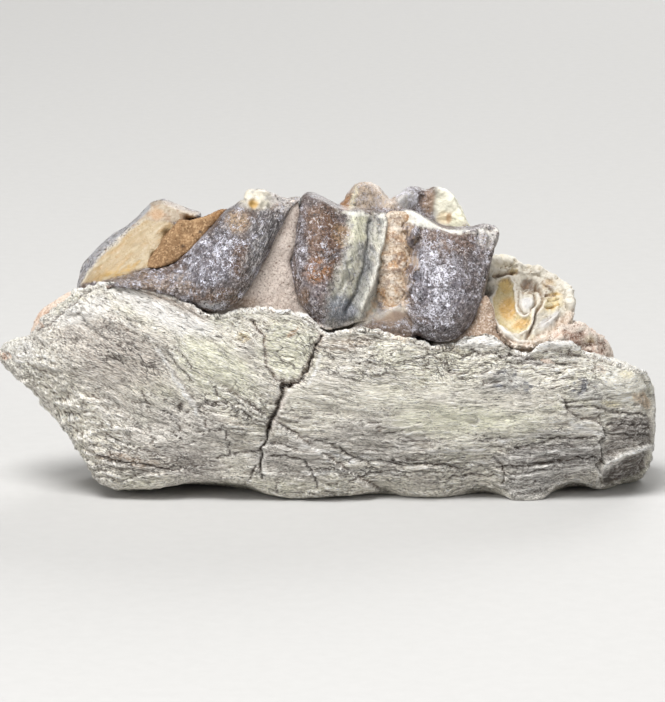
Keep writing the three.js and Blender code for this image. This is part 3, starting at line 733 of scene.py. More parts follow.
STAINS = (
    (4.0, 0.60, BONE_STAIN, ((325, 330), (317, 344), (312, 358), (305, 372), (303, 380), (291, 384))),
    (3.6, 0.55, BONE_STAIN, ((284, 386), (283, 396), (277, 412), (268, 430))),
    (2.0, 0.50, BONE_STAIN, ((284, 382), (275, 378), (273, 370), (267, 366), (266, 354), (263, 334),
                             (253, 322))),
)
paint_strokes(bone_coat, bone_marked, bone_front, STAINS)
paint(bone_coat, 0.92 * crack_dark, BONE_CRACK)

# Where shreds of the surface fray and where it is crazed with fine cracks.
FRAYED_SPOTS = (
    ((160, 306), (90, 28), 28, 1.0),
    ((80, 312), (44, 20), -20, 1.0),
    ((95, 425), (60, 40), 20, 1.0),
    ((556, 346), (38, 14), 0, 1.0),
    ((482, 344), (32, 12), 0, 1.0),
    ((40, 360), (36, 26), 0, 1.0),
    ((380, 372), (80, 26), 8, 1.0),
)
CRAZED_SPOTS = (
    ((445, 362), (80, 28), 4, 1.0),
    ((350, 362), (56, 28), 8, 1.0),
    ((560, 446), (70, 26), -4, 1.0),
    ((236, 412), (60, 40), 0, 1.0),
    ((625, 430), (40, 20), 0, 1.0),
    ((390, 468), (130, 20), 2, 1.0),
    ((150, 462), (80, 22), 8, 1.0),
    ((300, 350), (40, 26), 0, 1.0),
    ((120, 350), (70, 40), 25, 1.0),
)
frayed = raised(np.full(len(bone_places), 0.25), tint_seen, bone_near, FRAYED_SPOTS)
crazed = 0.35 * bone_back * ease_between(0.0, 0.4, wobble(bone_grain / (5.0, 3.0, 4.0), 136))
pitted = 0.25 + 0.75 * clouds(bone_grain, (5.0, 3.5, 4.0), 131, 0.0, 0.6)
keep_coat(bone, bone_coat)
keep_vector(bone, "grain", wavy_grain)
keep_value(bone, "pitted", pitted * (1.0 - even_end))
keep_value(bone, "frayed", frayed * (1.0 - 0.6 * even_end))
keep_value(bone, "calm", calm)
keep_value(bone, "crazed", raised(crazed, tint_seen, bone_near, CRAZED_SPOTS))
smooth_faces(bone)


def hairlines(tree, grain, across_per_mm, width, shift):
    """Thin drying cracks: the lines where a noise stretched along the fibres passes its middle."""
    stretched = spread(tree, grain, (0.22, across_per_mm, across_per_mm))
    shifted = add(tree, "VectorMath", {0: stretched, 1: (shift, shift, shift)}, operation="ADD").outputs[0]
    offset = off_middle(tree, speckle(tree, shifted, 1.0, 5.0, 0.55, 0.3))
    return between(tree, offset, width, width * 0.25)


def bone_material(name):
    """Fibrous bone: its tint shaded by fibres, with shreds, strands, pores, drying cracks and crazing."""
    finish, tree, shader, _ = new_finish(name)
    grain, calm_share = held(tree, "grain", "Vector"), held(tree, "calm")
    fray_share = held(tree, "frayed")
    fibres = speckle(tree, spread(tree, grain, (1.5, 8.5, 6.0)), 1.0, 4.0, 0.6, 0.5)
    strands = speckle(tree, spread(tree, grain, (4.5, 19.0, 13.0)), 1.0, 3.0, 0.65)
    shreds = speckle(tree, spread(tree, grain, (1.0, 5.0, 3.6)), 1.0, 4.0, 0.6, 0.3)
    patchy = speckle(tree, spread(tree, grain, (0.5, 1.0, 0.8)), 1.0, 4.0, 0.6)
    lively = between(tree, calm_share, 0.0, 1.0, 1.0, 0.3)
    clear = between(tree, held(tree, "dull"), 0.0, 1.0, 1.0, 0.2)
    pore_cells = add(tree, "TexVoronoi", {"Vector": spread(tree, grain, (3.0, 6.5, 5.0)), "Scale": 1.0})
    pores = times(tree, between(tree, pore_cells.outputs["Distance"], 0.30, 0.12),
                  between(tree, held(tree, "pitted"), 0.35, 0.85))
    gaps = speckle(tree, spread(tree, grain, (0.6, 1.3, 1.3)), 1.0, 3.0)
    long_lines = sums(tree, "MAXIMUM", hairlines(tree, grain, 1.2, 0.007, 3.7),
                      hairlines(tree, grain, 2.3, 0.008, 9.1))
    long_lines = times(tree, long_lines, between(tree, gaps, 0.45, 0.55))
    bent = add(tree, "TexNoise", {"Vector": grain, "Scale": 1.7, "Detail": 3.0}).outputs["Color"]
    craze_sockets = {0: bent, 1: (1.3, 1.3, 1.3), 2: spread(tree, grain, (0.75, 1.6, 1.2))}
    craze_grain = add(tree, "VectorMath", craze_sockets, operation="MULTIPLY_ADD").outputs[0]
    craze_cells = add(tree, "TexVoronoi", {"Vector": craze_grain, "Scale": 1.0}, feature="DISTANCE_TO_EDGE")
    craze_share = times(tree, held(tree, "crazed"), between(tree, patchy, 0.40, 0.56))
    crackle = times(tree, between(tree, craze_cells.outputs["Distance"], 0.065, 0.02), craze_share)
    lines = sums(tree, "MAXIMUM", long_lines, crackle)
    light = between(tree, fibres, 0.36, 0.64, 0.57, 1.48)
    grey_light = add(tree, "CombineColor", {"Red": light, "Green": light, "Blue": light}).outputs[0]
    fibre_share = between(tree, calm_share, 0.7, 1.0, 1.0, 0.55)
    skin = blend(tree, fibre_share, held(tree, "tint", "Color"), grey_light, "MULTIPLY")
    skin = lay_over(tree, skin, tone(168, 152, 136), patchy, 0.42, 0.30, 0.35)
    skin = lay_over(tree, skin, tone(128, 108, 92), shreds, 0.46, 0.38, 0.32, fray_share)
    skin = lay_over(tree, skin, tone(254, 250, 244), shreds, 0.53, 0.61, 0.8, fray_share)
    skin = lay_over(tree, skin, tone(254, 250, 243), strands, 0.52, 0.63, 0.9, clear)
    skin = lay_over(tree, skin, tone(98, 84, 74), strands, 0.46, 0.34, 0.88, lively)
    skin = blend(tree, times(tree, times(tree, pores, lively), 0.75), skin, tone(84, 74, 68))
    skin = blend(tree, times(tree, lines, 0.8), skin, tone(66, 55, 48))
    height = sums(tree, "ADD", fibres, times(tree, strands, 0.45))
    height = sums(tree, "SUBTRACT", height, times(tree, sums(tree, "ADD", pores, lines), 0.6))
    dress_shader(tree, shader, skin, between(tree, fibres, 0.3, 0.7, 0.86, 0.60), 0.4, height, 0.26)
    return finish


bone.data.materials.append(bone_material("fibrous_bone"))
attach(bone, "root")
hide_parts("jaw_bone")

# Sediment: fine pinkish sandstone that set round the tooth roots, between the crowns and along the
# upper left edge. It is one filling of one kind of rock, and it holds by its own grip on bone and teeth.
SEDIMENT_PINK = colour(214, 200, 190)
SEDIMENT_PALE = colour(232, 220, 208)
SEDIMENT_ORANGE = colour(166, 139, 114)
SEDIMENT_RED = colour(190, 150, 132)
SEDIMENT_RIGHT = colour(158, 143, 128)
SEDIMENT_LEFT = colour(204, 182, 162)
SEDIMENT_CREVICE_SHADE = colour(112, 84, 68)
SEDIMENT_KNOB_HIGHLIGHT = colour(226, 218, 206)
SEDIMENT_GRID = 0.17
SEDIMENT_ROUNDS = 10
sediment, sediment_edges, sediment_places, sediment_out = smooth_copy(
    "sediment", "pink_sediment", SEDIMENT_GRID, SEDIMENT_ROUNDS)
swell = 0.34 + 0.10 * layers(sediment_places / 1.2, 201) + 0.05 * layers(sediment_places / 0.35, 211)
sediment_right = ease_between(15.5, 18.0, sediment_places[:, 0])
knobs = 0.42 * layers(sediment_places / 1.0, 221) + 0.30 * np.abs(layers(sediment_places / 0.55, 225)) - 0.16
swell += sediment_right * (knobs + 0.06 * layers(sediment_places / 0.25, 228))
sediment_places = sediment_places + swell[:, None] * sediment_out
# It fills the gap between the two large crowns to their rims.
GAP_SPOT = ((294, 218), (14, 22))
GAP_LIFT = 0.95
gap_fill = in_spot(seen(sediment_places), *GAP_SPOT) * ease_between(0.0, 0.5, sediment_out[:, 2])
sediment_places[:, 2] += GAP_LIFT * gap_fill
# By the front molar the rock reaches over the tooth's foot.
FOOT_SPOT = ((568, 334), (20, 18))
FOOT_REACH = (-1.1, -0.7, 0.25)
foot = in_spot(seen(sediment_places), *FOOT_SPOT) * ease_between(0.1, 0.6, -sediment_out[:, 1])
sediment_places += foot[:, None] * FOOT_REACH
put_places(sediment, sediment_places)
sediment_out = outward(sediment)
SEDIMENT_SPOTS = (
    ((240, 303), (24, 8), 0, SEDIMENT_ORANGE, 0.6),
    ((590, 340), (6, 6), 0, colour(214, 190, 140), 0.6),
    ((555, 333), (18, 6), 0, colour(198, 156, 130), 0.6),
    ((45, 318), (12, 12), 0, colour(188, 152, 126), 0.6),
)
sunk = hollows(sediment_places, sediment_edges, sediment_out, 8)
sediment_coat = np.tile(SEDIMENT_PINK, (len(sediment_places), 1))
sediment_cloud = layers(sediment_places / 1.6, 231)
sediment_x = sediment_places[:, 0]
paint(sediment_coat, 0.3 * ease_between(0.0, 0.7, sediment_cloud), SEDIMENT_PALE)
paint(sediment_coat, 0.8 * ease_between(8.5, 11.0, sediment_x) * (1.0 - sediment_right), SEDIMENT_ORANGE)
paint(sediment_coat, 0.6 * sediment_right, SEDIMENT_RIGHT)
paint(sediment_coat, 0.7 * sediment_right * ease_between(-0.1, 0.4, sediment_cloud), SEDIMENT_RED)
paint(sediment_coat, 0.7 * ease_between(-15.0, -18.0, sediment_x), SEDIMENT_LEFT)
paint_spots(sediment_coat, seen(sediment_places), 1.0, SEDIMENT_SPOTS)
# Hollows of the rock are darkened with painted shade, and the knobs on the right are lightened with a painted
# highlight.
paint(sediment_coat, (0.6 + 0.3 * sediment_right) * ease_between(0.005, 0.06, sunk), SEDIMENT_CREVICE_SHADE)
paint(sediment_coat, 0.5 * sediment_right * ease_between(0.0, 0.06, -sunk), SEDIMENT_KNOB_HIGHLIGHT)
keep_coat(sediment, sediment_coat)
smooth_faces(sediment)


def grit_finish(name, grit, bright_tone, dark_tone, depth_mm):
    """Fine-grained rock: a tint, pale and dark grit of so many grains per mm, and a rough surface."""
    finish, tree, shader, own = new_finish(name)
    fine = speckle(tree, own, grit, 2.0, 0.7)
    coarse = speckle(tree, own, grit * 0.38, 3.0, 0.6)
    skin = lay_over(tree, held(tree, "tint", "Color"), bright_tone, fine, 0.53, 0.66, 0.8)
    skin = lay_over(tree, skin, dark_tone, fine, 0.45, 0.32, 0.75)
    skin = lay_over(tree, skin, dark_tone, coarse, 0.42, 0.3, 0.5)
    roughness = between(tree, coarse, 0.3, 0.7, 0.95, 0.75)
    dress_shader(tree, shader, skin, roughness, 0.3, sums(tree, "ADD", fine, coarse), depth_mm)
    return finish


GRAIN_SMALLEST = (0.5, 0.5, 0.5)
GRAIN_LARGEST = (1.3, 1.1, 1.0)
GRAIN_DARKEST = 0.45
GRAIN_PALEST = 1.25


def strew_grains(piece, finish, per_mm2, radius_mm, seed):
    """Strews sand grains over a rock piece with Geometry Nodes and makes rock and grains one plain mesh."""
    tree = bpy.data.node_groups.new("sand_grains", "GeometryNodeTree")
    tree.interface.new_socket("Rock", in_out="OUTPUT", socket_type="NodeSocketGeometry")
    sockets = {}
    for name, kind in (("Rock", "Geometry"), ("Grains per m2", "Float"), ("Radius", "Float"), ("Seed", "Int"),
                       ("Finish", "Material")):
        socket = tree.interface.new_socket(name, in_out="INPUT", socket_type="NodeSocket" + kind)
        sockets[name] = socket.identifier

    def step(kind, **settings):
        made = tree.nodes.new(kind)
        for name, value in settings.items():
            setattr(made, name, value)
        return made

    def link(source, output, target, entry):
        tree.links.new(source.outputs[output], target.inputs[entry])

    given = step("NodeGroupInput")
    points = step("GeometryNodeDistributePointsOnFaces")
    link(given, "Rock", points, "Mesh")
    link(given, "Grains per m2", points, "Density")
    link(given, "Seed", points, "Seed")
    size = step("FunctionNodeRandomValue", data_type="FLOAT_VECTOR")
    size.inputs["Min"].default_value = GRAIN_SMALLEST
    size.inputs["Max"].default_value = GRAIN_LARGEST
    turn = step("FunctionNodeRandomValue", data_type="FLOAT_VECTOR")
    turn.inputs["Max"].default_value = (math.tau, math.tau, math.tau)
    shade = step("FunctionNodeRandomValue", data_type="FLOAT")
    shade.inputs[2].default_value = GRAIN_DARKEST
    shade.inputs[3].default_value = GRAIN_PALEST
    for chance in (size, turn, shade):
        link(given, "Seed", chance, "Seed")
    under = step("GeometryNodeInputNamedAttribute", data_type="FLOAT_COLOR")
    under.inputs["Name"].default_value = "tint"
    shaded = step("ShaderNodeVectorMath", operation="SCALE")
    link(under, "Attribute", shaded, 0)
    link(shade, 1, shaded, "Scale")
    dyed = step("GeometryNodeStoreNamedAttribute", data_type="FLOAT_COLOR", domain="POINT")
    dyed.inputs["Name"].default_value = "tint"
    link(points, "Points", dyed, "Geometry")
    link(shaded, 0, dyed, "Value")
    ball = step("GeometryNodeMeshIcoSphere")
    ball.inputs["Subdivisions"].default_value = 1
    link(given, "Radius", ball, "Radius")
    laid = step("GeometryNodeInstanceOnPoints")
    link(dyed, "Geometry", laid, "Points")
    link(ball, "Mesh", laid, "Instance")
    link(size, 0, laid, "Scale")
    link(turn, 0, laid, "Rotation")
    joined = step("GeometryNodeJoinGeometry")
    link(given, "Rock", joined, "Geometry")
    link(laid, "Instances", joined, "Geometry")
    real = step("GeometryNodeRealizeInstances")
    link(joined, "Geometry", real, "Geometry")
    coated = step("GeometryNodeSetMaterial")
    link(real, "Geometry", coated, "Geometry")
    link(given, "Finish", coated, "Material")
    link(coated, "Geometry", step("NodeGroupOutput"), "Rock")
    strew = piece.modifiers.new("sand_grains", "NODES")
    strew.node_group = tree
    values = {"Grains per m2": per_mm2 / MM ** 2, "Radius": radius_mm * MM, "Seed": seed, "Finish": finish}
    for name, value in values.items():
        strew[sockets[name]] = value
    plain_mesh(piece)
    smooth_faces(piece)


pink_grit = grit_finish("pink_grit", 7.0, tone(240, 228, 218), tone(128, 100, 84), 0.08)
strew_grains(sediment, pink_grit, per_mm2=3.6, radius_mm=0.07, seed=241)
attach(sediment, "root")
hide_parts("sediment")

# Rear molar: the last tooth, its front lobe whole and coated with grey enamel, its back lobe broken open.
# The break shows cream dentine with a grey enamel edge. It grew in its socket in the bone.
ENAMEL_GREY = colour(90, 82, 82)
ENAMEL_BROWN = colour(104, 79, 60)
DENTINE_CREAM = colour(170, 150, 117)
DENTINE_YELLOW = colour(170, 134, 82)
REAR_GRID = 0.12
REAR_ROUNDS = 7


def crown_copy(node, name, grid, rounds, seed):
    """A smoothed close-meshed crown with a slightly uneven surface, its edges, places and directions."""
    crown, edges, points, out = smooth_copy(node, name, grid, rounds)
    uneven = 0.06 + 0.05 * layers(points / 1.6, seed) + 0.012 * layers(points / 0.3, seed + 5)
    return crown, edges, points + uneven[:, None] * out, out


def toward_eye(out):
    """How far the surface faces the eye, from -1 to 1."""
    return out[:, 2] * math.sin(SIGHT_TILT) - out[:, 1] * math.cos(SIGHT_TILT)


def enamel_finish(name, frost_tone, haze_tone):
    """Enamel with dark mottling, a curly crust of pale frost, fine lines and a dull shine."""
    finish, tree, shader, own = new_finish(name)
    frost, enamel, lined = held(tree, "frost"), held(tree, "enamel"), held(tree, "lined")
    bare = between(tree, enamel, 0.0, 0.5)
    mottle = speckle(tree, own, 1.5, 4.0, 0.65, 0.6)
    fine = speckle(tree, own, 5.0, 3.0, 0.7)
    specks = speckle(tree, own, 5.0, 3.0, 0.6, 1.6)
    clump = speckle(tree, own, 1.7, 3.0, 0.6, 0.4)
    glints = speckle(tree, own, 4.6, 2.0, 0.6, 1.0)
    curl = off_middle(tree, speckle(tree, own, 3.4, 2.0, 0.5, 1.8))
    combed = speckle(tree, spread(tree, held(tree, "comb", "Vector"), (9.0, 1.2, 3.5)), 1.0, 3.0, 0.6, 0.3)
    crust = sums(tree, "ADD", frost, times(tree, sums(tree, "SUBTRACT", clump, 0.5), 1.8))
    curls = times(tree, between(tree, curl, 0.040, 0.016), between(tree, crust, 0.25, 0.60))
    crust = sums(tree, "ADD", crust, times(tree, sums(tree, "SUBTRACT", specks, 0.5), 4.2))
    flecks = times(tree, sums(tree, "MAXIMUM", between(tree, crust, 0.76, 0.90), curls), bare)
    skin = held(tree, "tint", "Color")
    skin = lay_over(tree, skin, tone(196, 166, 142), mottle, 0.50, 0.62, 0.7, enamel, "MULTIPLY")
    skin = lay_over(tree, skin, tone(150, 145, 148), mottle, 0.47, 0.36, 0.8, enamel, "MULTIPLY")
    skin = lay_over(tree, skin, tone(40, 32, 31), fine, 0.49, 0.37, 0.9, enamel)
    skin = lay_over(tree, skin, tone(170, 162, 160), fine, 0.57, 0.68, 0.5, enamel)
    skin = lay_over(tree, skin, tone(52, 46, 46), combed, 0.47, 0.38, 0.85, lined)
    skin = lay_over(tree, skin, tone(206, 204, 204), combed, 0.55, 0.63, 0.65, lined)
    skin = lay_over(tree, skin, tone(206, 198, 196), glints, 0.59, 0.65, 0.7, bare)
    skin = lay_over(tree, skin, tone(44, 35, 32), glints, 0.43, 0.36, 0.8, bare)
    skin = lay_over(tree, skin, haze_tone, crust, 0.45, 0.85, 0.25, bare)
    skin = blend(tree, flecks, skin, frost_tone)
    rough = sums(tree, "ADD", between(tree, mottle, 0.3, 0.7, 0.22, 0.40), times(tree, flecks, 0.3))
    height = sums(tree, "ADD", times(tree, flecks, 0.4), fine)
    height = sums(tree, "ADD", height, times(tree, combed, lined))
    dress_shader(tree, shader, skin, rough, 0.6, height, 0.11)
    return finish


# Outlines and lines on the picture: the broken dentine, its enamel edge and pale border, the ridge over the
# break, the dark flank of the front lobe, its chipped tip, the pale slope beside it and the rough tail.
REAR_DENTINE = (
    (80, 285), (89, 269), (112, 246), (133, 228), (146, 219), (164, 221), (180, 227), (188, 236), (184, 250),
    (174, 259), (162, 264), (140, 269), (115, 278),
)
REAR_EDGE = ((74, 288), (83, 268), (100, 246), (124, 226), (145, 207))
REAR_BORDER = ((82, 284), (91, 266), (112, 244), (133, 226), (147, 217))
REAR_RIDGE = ((138, 222), (146, 204), (160, 199), (180, 206), (200, 214), (186, 222), (164, 224))
REAR_FLANK = ((252, 216), (290, 202), (300, 204), (280, 240), (262, 286), (238, 304), (244, 260))
REAR_SLOPE = ((272, 194), (300, 196), (303, 203), (282, 212), (270, 204))
REAR_TAIL = (
    (92, 290), (115, 279), (142, 270), (166, 264), (188, 270), (200, 296), (184, 308), (150, 300), (120, 292),
)
REAR_TIP = ((257, 199), (25, 15))
REAR_PITS = ((3.4, 0.35, (253, 204)), (2.0, 0.2, (244, 200)), (2.0, 0.2, (262, 206)))
TAIL_FORWARD = 0.7
TAIL_END = (196.0, 160.0)
rear, _, rear_places, rear_out = crown_copy("rear_molar", "rear_molar_crown", REAR_GRID, REAR_ROUNDS, 301)
rear_x, rear_y, rear_z = rear_places.T
rear_seen = seen(rear_places)
rear_front = ease_between(0.0, 0.35, toward_eye(rear_out))
rear_marked = shaken(rear_seen, rear_places, 0.7, 311, 1.5)
dentine = in_patch(rear_marked, REAR_DENTINE, 1.5) * ease_between(2.4, 1.6, rear_y)
rear_ridge = in_patch(rear_marked, REAR_RIDGE, 2.0)
rear_ridge *= np.maximum(rear_front, ease_between(0.2, 0.6, rear_out[:, 2]))
flank = in_patch(rear_marked, REAR_FLANK, 6.0)
tip = in_spot(rear_marked, *REAR_TIP) * ease_between(-1.0, -2.0, rear_y)
tail = in_patch(rear_marked, REAR_TAIL, 4.0)
streak = layers(columns(rear_x + rear_z, 3.5 * (rear_z - 0.8 * rear_x), rear_y) / 1.1, 331)
side_lines = layers(columns(4.5 * (rear_x - 0.45 * rear_z), 0.6 * rear_z, rear_y) / 1.5, 341)
tip_rough = 0.30 * layers(rear_places / (1.4, 0.8, 0.6), 351) + 0.10 * np.abs(layers(rear_places / 0.35, 353))
tail_rough = 0.20 * layers(rear_places / 0.5, 361) + 0.12 * np.abs(layers(rear_places / 0.25, 363))
rear_relief = 0.05 * dentine * streak + 0.10 * flank * side_lines + tip * tip_rough + tail * tail_rough
for half, depth, middle in REAR_PITS:
    rear_relief -= depth * dot(rear_marked, middle, half)
rear_places = rear_places + rear_relief[:, None] * rear_out
rear_places[:, 1] -= TAIL_FORWARD * tail * rear_front * ease_between(*TAIL_END, rear_seen[:, 0])
put_places(rear, rear_places)

REAR_FROST_BLUE = colour(150, 150, 158)
REAR_LINE_GREY = colour(176, 172, 170)
REAR_TIP_CREAM = colour(216, 209, 192)
REAR_TIP_GREY = colour(160, 156, 152)
REAR_TIP_AMBER = colour(180, 142, 66)
REAR_SLOPE_GREY = colour(190, 184, 178)
DENTINE_PALE = colour(192, 178, 150)
DENTINE_FOOT = colour(178, 145, 84)
DENTINE_BORDER = colour(222, 214, 196)
RIDGE_TAN = colour(172, 158, 138)
RIDGE_BROWN = colour(146, 116, 90)
RIDGE_ORANGE = colour(174, 138, 100)
EDGE_GREY = colour(160, 160, 162)
TAIL_BROWN = colour(146, 126, 108)
REAR_SPOTS = (
    ((212, 262), (36, 32), -40, colour(94, 90, 100), 0.8),
    ((226, 298), (28, 13), 0, colour(102, 74, 46), 0.9),
    ((238, 222), (16, 16), -40, colour(158, 132, 100), 0.95),
    ((240, 258), (16, 28), 10, colour(92, 66, 48), 0.9),
    ((210, 305), (15, 5), 8, colour(196, 197, 200), 0.95),
    ((150, 281), (52, 13), 12, colour(112, 94, 80), 0.9),
    # The near-black oval on the right flank is painted shade on the side turned away from the light.
    ((266, 250), (20, 54), 22, colour(48, 43, 45), 0.92),
    ((252, 290), (14, 14), 0, colour(84, 74, 70), 0.8),
)
TIP_SPOT = ((253, 204), (7, 7), 0, REAR_TIP_AMBER, 0.9)
DENTINE_FOOT_SPOT = ((134, 265), (46, 9), -22, DENTINE_FOOT, 0.8)
RIDGE_SPOT = ((157, 214), (10, 8), 0, RIDGE_ORANGE, 0.75)
REAR_FROST_SPOT = ((212, 258), (38, 34), -40)
REAR_LINED_SPOT = ((225, 290), (40, 20))
rear_coat = np.tile(ENAMEL_GREY, (len(rear_places), 1))
rear_cloud = layers(rear_places / 1.3, 371)
paint(rear_coat, 0.7 * ease_between(0.0, 0.6, rear_cloud), ENAMEL_BROWN)
paint(rear_coat, 0.5 * ease_between(0.1, 0.6, -rear_cloud), REAR_FROST_BLUE)
paint_spots(rear_coat, rear_marked, rear_front, REAR_SPOTS)
paint(rear_coat, 0.35 * flank * ease_between(0.1, 0.5, side_lines), REAR_LINE_GREY)
paint(rear_coat, 0.95 * tip, REAR_TIP_CREAM)
paint(rear_coat, 0.7 * tip * clouds(rear_places, 0.5, 356, 0.0, 0.4), REAR_TIP_GREY)
paint_spots(rear_coat, rear_marked, tip, (TIP_SPOT,))
paint(rear_coat, 0.7 * in_patch(rear_marked, REAR_SLOPE, 3.0), REAR_SLOPE_GREY)
paint(rear_coat, dentine, DENTINE_CREAM)
paint(rear_coat, 0.35 * dentine * ease_between(0.1, 0.6, streak), DENTINE_YELLOW)
paint(rear_coat, 0.5 * dentine * ease_between(0.1, 0.6, -streak), DENTINE_PALE)
paint_spots(rear_coat, rear_marked, dentine * ease_between(-0.3, 0.3, streak), (DENTINE_FOOT_SPOT,))
paint(rear_coat, 0.9 * rear_front * stroke(rear_marked, REAR_BORDER, 1.9), DENTINE_BORDER)
bare_ridge = rear_ridge * (1.0 - dentine)
paint(rear_coat, bare_ridge * (0.4 + 0.6 * rear_front), RIDGE_TAN)
paint(rear_coat, 0.55 * bare_ridge * clouds(rear_places, 0.3, 377, 0.0, 0.35), RIDGE_BROWN)
paint_spots(rear_coat, rear_marked, rear_front, (RIDGE_SPOT,))
rear_edge, _ = off_line(rear_marked, REAR_EDGE)
paint(rear_coat, (1.0 - ease_between(4.5, 7.5, rear_edge)) * (1.0 - dentine), EDGE_GREY)
paint(rear_coat, 0.7 * tail * clouds(rear_places, 0.4, 376, -0.3, 0.3), TAIL_BROWN)
keep_coat(rear, rear_coat)
rear_enamel = 1.0 - np.clip(dentine + rear_ridge + tip, 0.0, 1.0)
keep_value(rear, "enamel", rear_enamel)
frost = 0.18 + 0.25 * layers(rear_places / 1.1, 381)
frost += 0.28 * in_spot(rear_marked, *REAR_FROST_SPOT) + 0.12 * tail + 0.05 * flank
keep_value(rear, "frost", np.clip(frost, 0.0, 1.0) * rear_enamel)
rear_x, rear_y, rear_z = rear_places.T
comb = columns(rear_x - 0.45 * rear_z, rear_z, rear_y)
growth = columns(0.79 * rear_z - 0.62 * rear_x, 0.79 * rear_x + 0.62 * rear_z, rear_y)
keep_vector(rear, "comb", np.where(dentine[:, None] > 0.5, 0.6 * growth, comb))
lined = np.clip(flank + 0.35 * in_spot(rear_marked, *REAR_LINED_SPOT), 0.0, 1.0) * rear_enamel
keep_value(rear, "lined", np.maximum(lined, 0.16 * dentine))
smooth_faces(rear)
rear.data.materials.append(enamel_finish("frosted_enamel", tone(232, 231, 243), tone(150, 146, 158)))
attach(rear, "root")
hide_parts("rear_molar")

# Sandstone filling: brown sandstone in the break of the rear molar, set hard against the dentine.
# It is sand with a few dark grains, and it filled the broken tooth before the jaw was found.
SANDSTONE_BROWN = colour(134, 105, 75)
SANDSTONE_PALE = colour(178, 144, 106)
SANDSTONE_SPOTS = (
    ((222, 214), (14, 10), 0, colour(150, 108, 66), 0.5),
    ((200, 232), (2.6, 2.2), 0, colour(50, 40, 36), 0.9),
    ((183, 246), (2.6, 2.2), 0, colour(50, 40, 36), 0.9),
)
SANDSTONE_GRID = 0.12
SANDSTONE_ROUNDS = 6
SANDSTONE_SET_BACK = (0.1, 0.45, -0.12)
sandstone, _, sandstone_places, sandstone_out = smooth_copy(
    "sandstone_filling", "brown_sandstone", SANDSTONE_GRID, SANDSTONE_ROUNDS)
sandstone_swell = 0.10 + 0.06 * layers(sandstone_places / 0.7, 401)
sandstone_places = sandstone_places + sandstone_swell[:, None] * sandstone_out + SANDSTONE_SET_BACK
# On the left it laps forward over the dentine.
LAP_ACROSS = (186.0, 164.0)
LAP_REACH = (-0.30, -0.60, 0.0)
lap = ease_between(*LAP_ACROSS, seen(sandstone_places)[:, 0])
sandstone_places += lap[:, None] * LAP_REACH
# Its top is broken off along a line that dips in the middle.
TOP_BREAK = ((150, 236), (166, 224), (174, 219), (190, 221), (205, 217), (220, 210), (234, 209))
BREAK_REACH = 20.0
BREAK_DROP = 0.075
sandstone_seen = seen(sandstone_places)
above = np.interp(sandstone_seen[:, 0], *zip(*TOP_BREAK)) - sandstone_seen[:, 1]
sandstone_places[:, 2] -= BREAK_DROP * np.clip(above, 0.0, BREAK_REACH)
put_places(sandstone, sandstone_places)
sandstone_coat = np.tile(SANDSTONE_BROWN, (len(sandstone_places), 1))
paint(sandstone_coat, 0.5 * clouds(sandstone_places, 0.8, 411, 0.0, 0.6), SANDSTONE_PALE)
paint_spots(sandstone_coat, seen(sandstone_places), 1.0, SANDSTONE_SPOTS)
keep_coat(sandstone, sandstone_coat)
smooth_faces(sandstone)
brown_sand = grit_finish("brown_sand", 6.0, tone(196, 164, 126), tone(112, 80, 52), 0.06)
strew_grains(sandstone, brown_sand, per_mm2=9.0, radius_mm=0.06, seed=421)
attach(sandstone, "root")
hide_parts("sandstone_filling")

# Middle molar: a whole tooth with two lobes on the cheek side and two cusps behind, coated with enamel.
# Its lobes are grey and brown under pale frost, with greenish white ribs between them and a white worn rim.
# It grew in its socket in the bone.
MIDDLE_GRID = 0.12
MIDDLE_ROUNDS = 7
RIB_LINE = ((384, 216), (381, 240), (376, 265), (368, 290), (358, 314))
GROOVE_LINE = ((371, 222), (369, 245), (365, 270), (357, 295), (347, 312))
SCRATCH_LINE = ((318, 272), (334, 256), (352, 244))
# Ribs and the lip under the valley stand forward of the lobes' hollow: half the width, mm forward, line.
FORWARD_LINES = (
    (6.5, 0.85, RIB_LINE),
    (6.0, 0.40, ((357, 214), (354, 240), (348, 270))),
    (3.6, 0.60, ((318, 326), (334, 331), (350, 326), (366, 318), (382, 311), (394, 305), (406, 310),
                 (420, 322))),
)
# Fine ribs, grooves and scratches: half the width, height in mm, line.
MIDDLE_LINES = (
    (2.8, 0.26, RIB_LINE),
    (3.2, -0.50, GROOVE_LINE),
    (2.2, -0.20, ((391, 222), (389, 250), (384, 278), (374, 302))),
    (2.4, -0.26, ((350, 262), (345, 280), (336, 300))),
    (3.0, 0.12, ((346, 270), (340, 292), (334, 312))),
    (0.8, -0.09, SCRATCH_LINE),
    (0.8, -0.08, ((342, 262), (360, 250), (372, 246))),
    (2.0, -0.35, ((420, 186), (422, 194), (424, 202))),
    (2.0, -0.22, ((394, 200), (398, 206))),
    (4.0, 0.18, ((398, 216), (410, 213), (424, 220), (440, 229))),
)
RAGGED_VALLEY = ((380, 226), (420, 222), (422, 300), (380, 300))
LIP_HOLLOW = ((350, 328), (366, 310), (384, 301), (404, 300), (418, 312), (424, 330), (404, 340), (370, 340))
LIP_FRONT = -4.75
RIBS = ((350, 214), (394, 216), (388, 262), (376, 300), (362, 322), (328, 326), (326, 300), (344, 262))
CHIP = ((488, 237), (16, 15))
middle, _, middle_places, middle_out = crown_copy(
    "middle_molar", "middle_molar_crown", MIDDLE_GRID, MIDDLE_ROUNDS, 501)
middle_seen = seen(middle_places)
middle_front = ease_between(0.0, 0.35, -middle_out[:, 1])
cheek = ease_between(0.4, -0.8, middle_places[:, 1])
middle_marked = shaken(middle_seen, middle_places, 0.7, 511, 1.5)
rib_marked = shaken(middle_seen, middle_places, 0.7, 511, 4.5)
for half, forward, line in FORWARD_LINES:
    middle_places[:, 1] -= forward * cheek * middle_front * stroke(middle_marked, line, half)
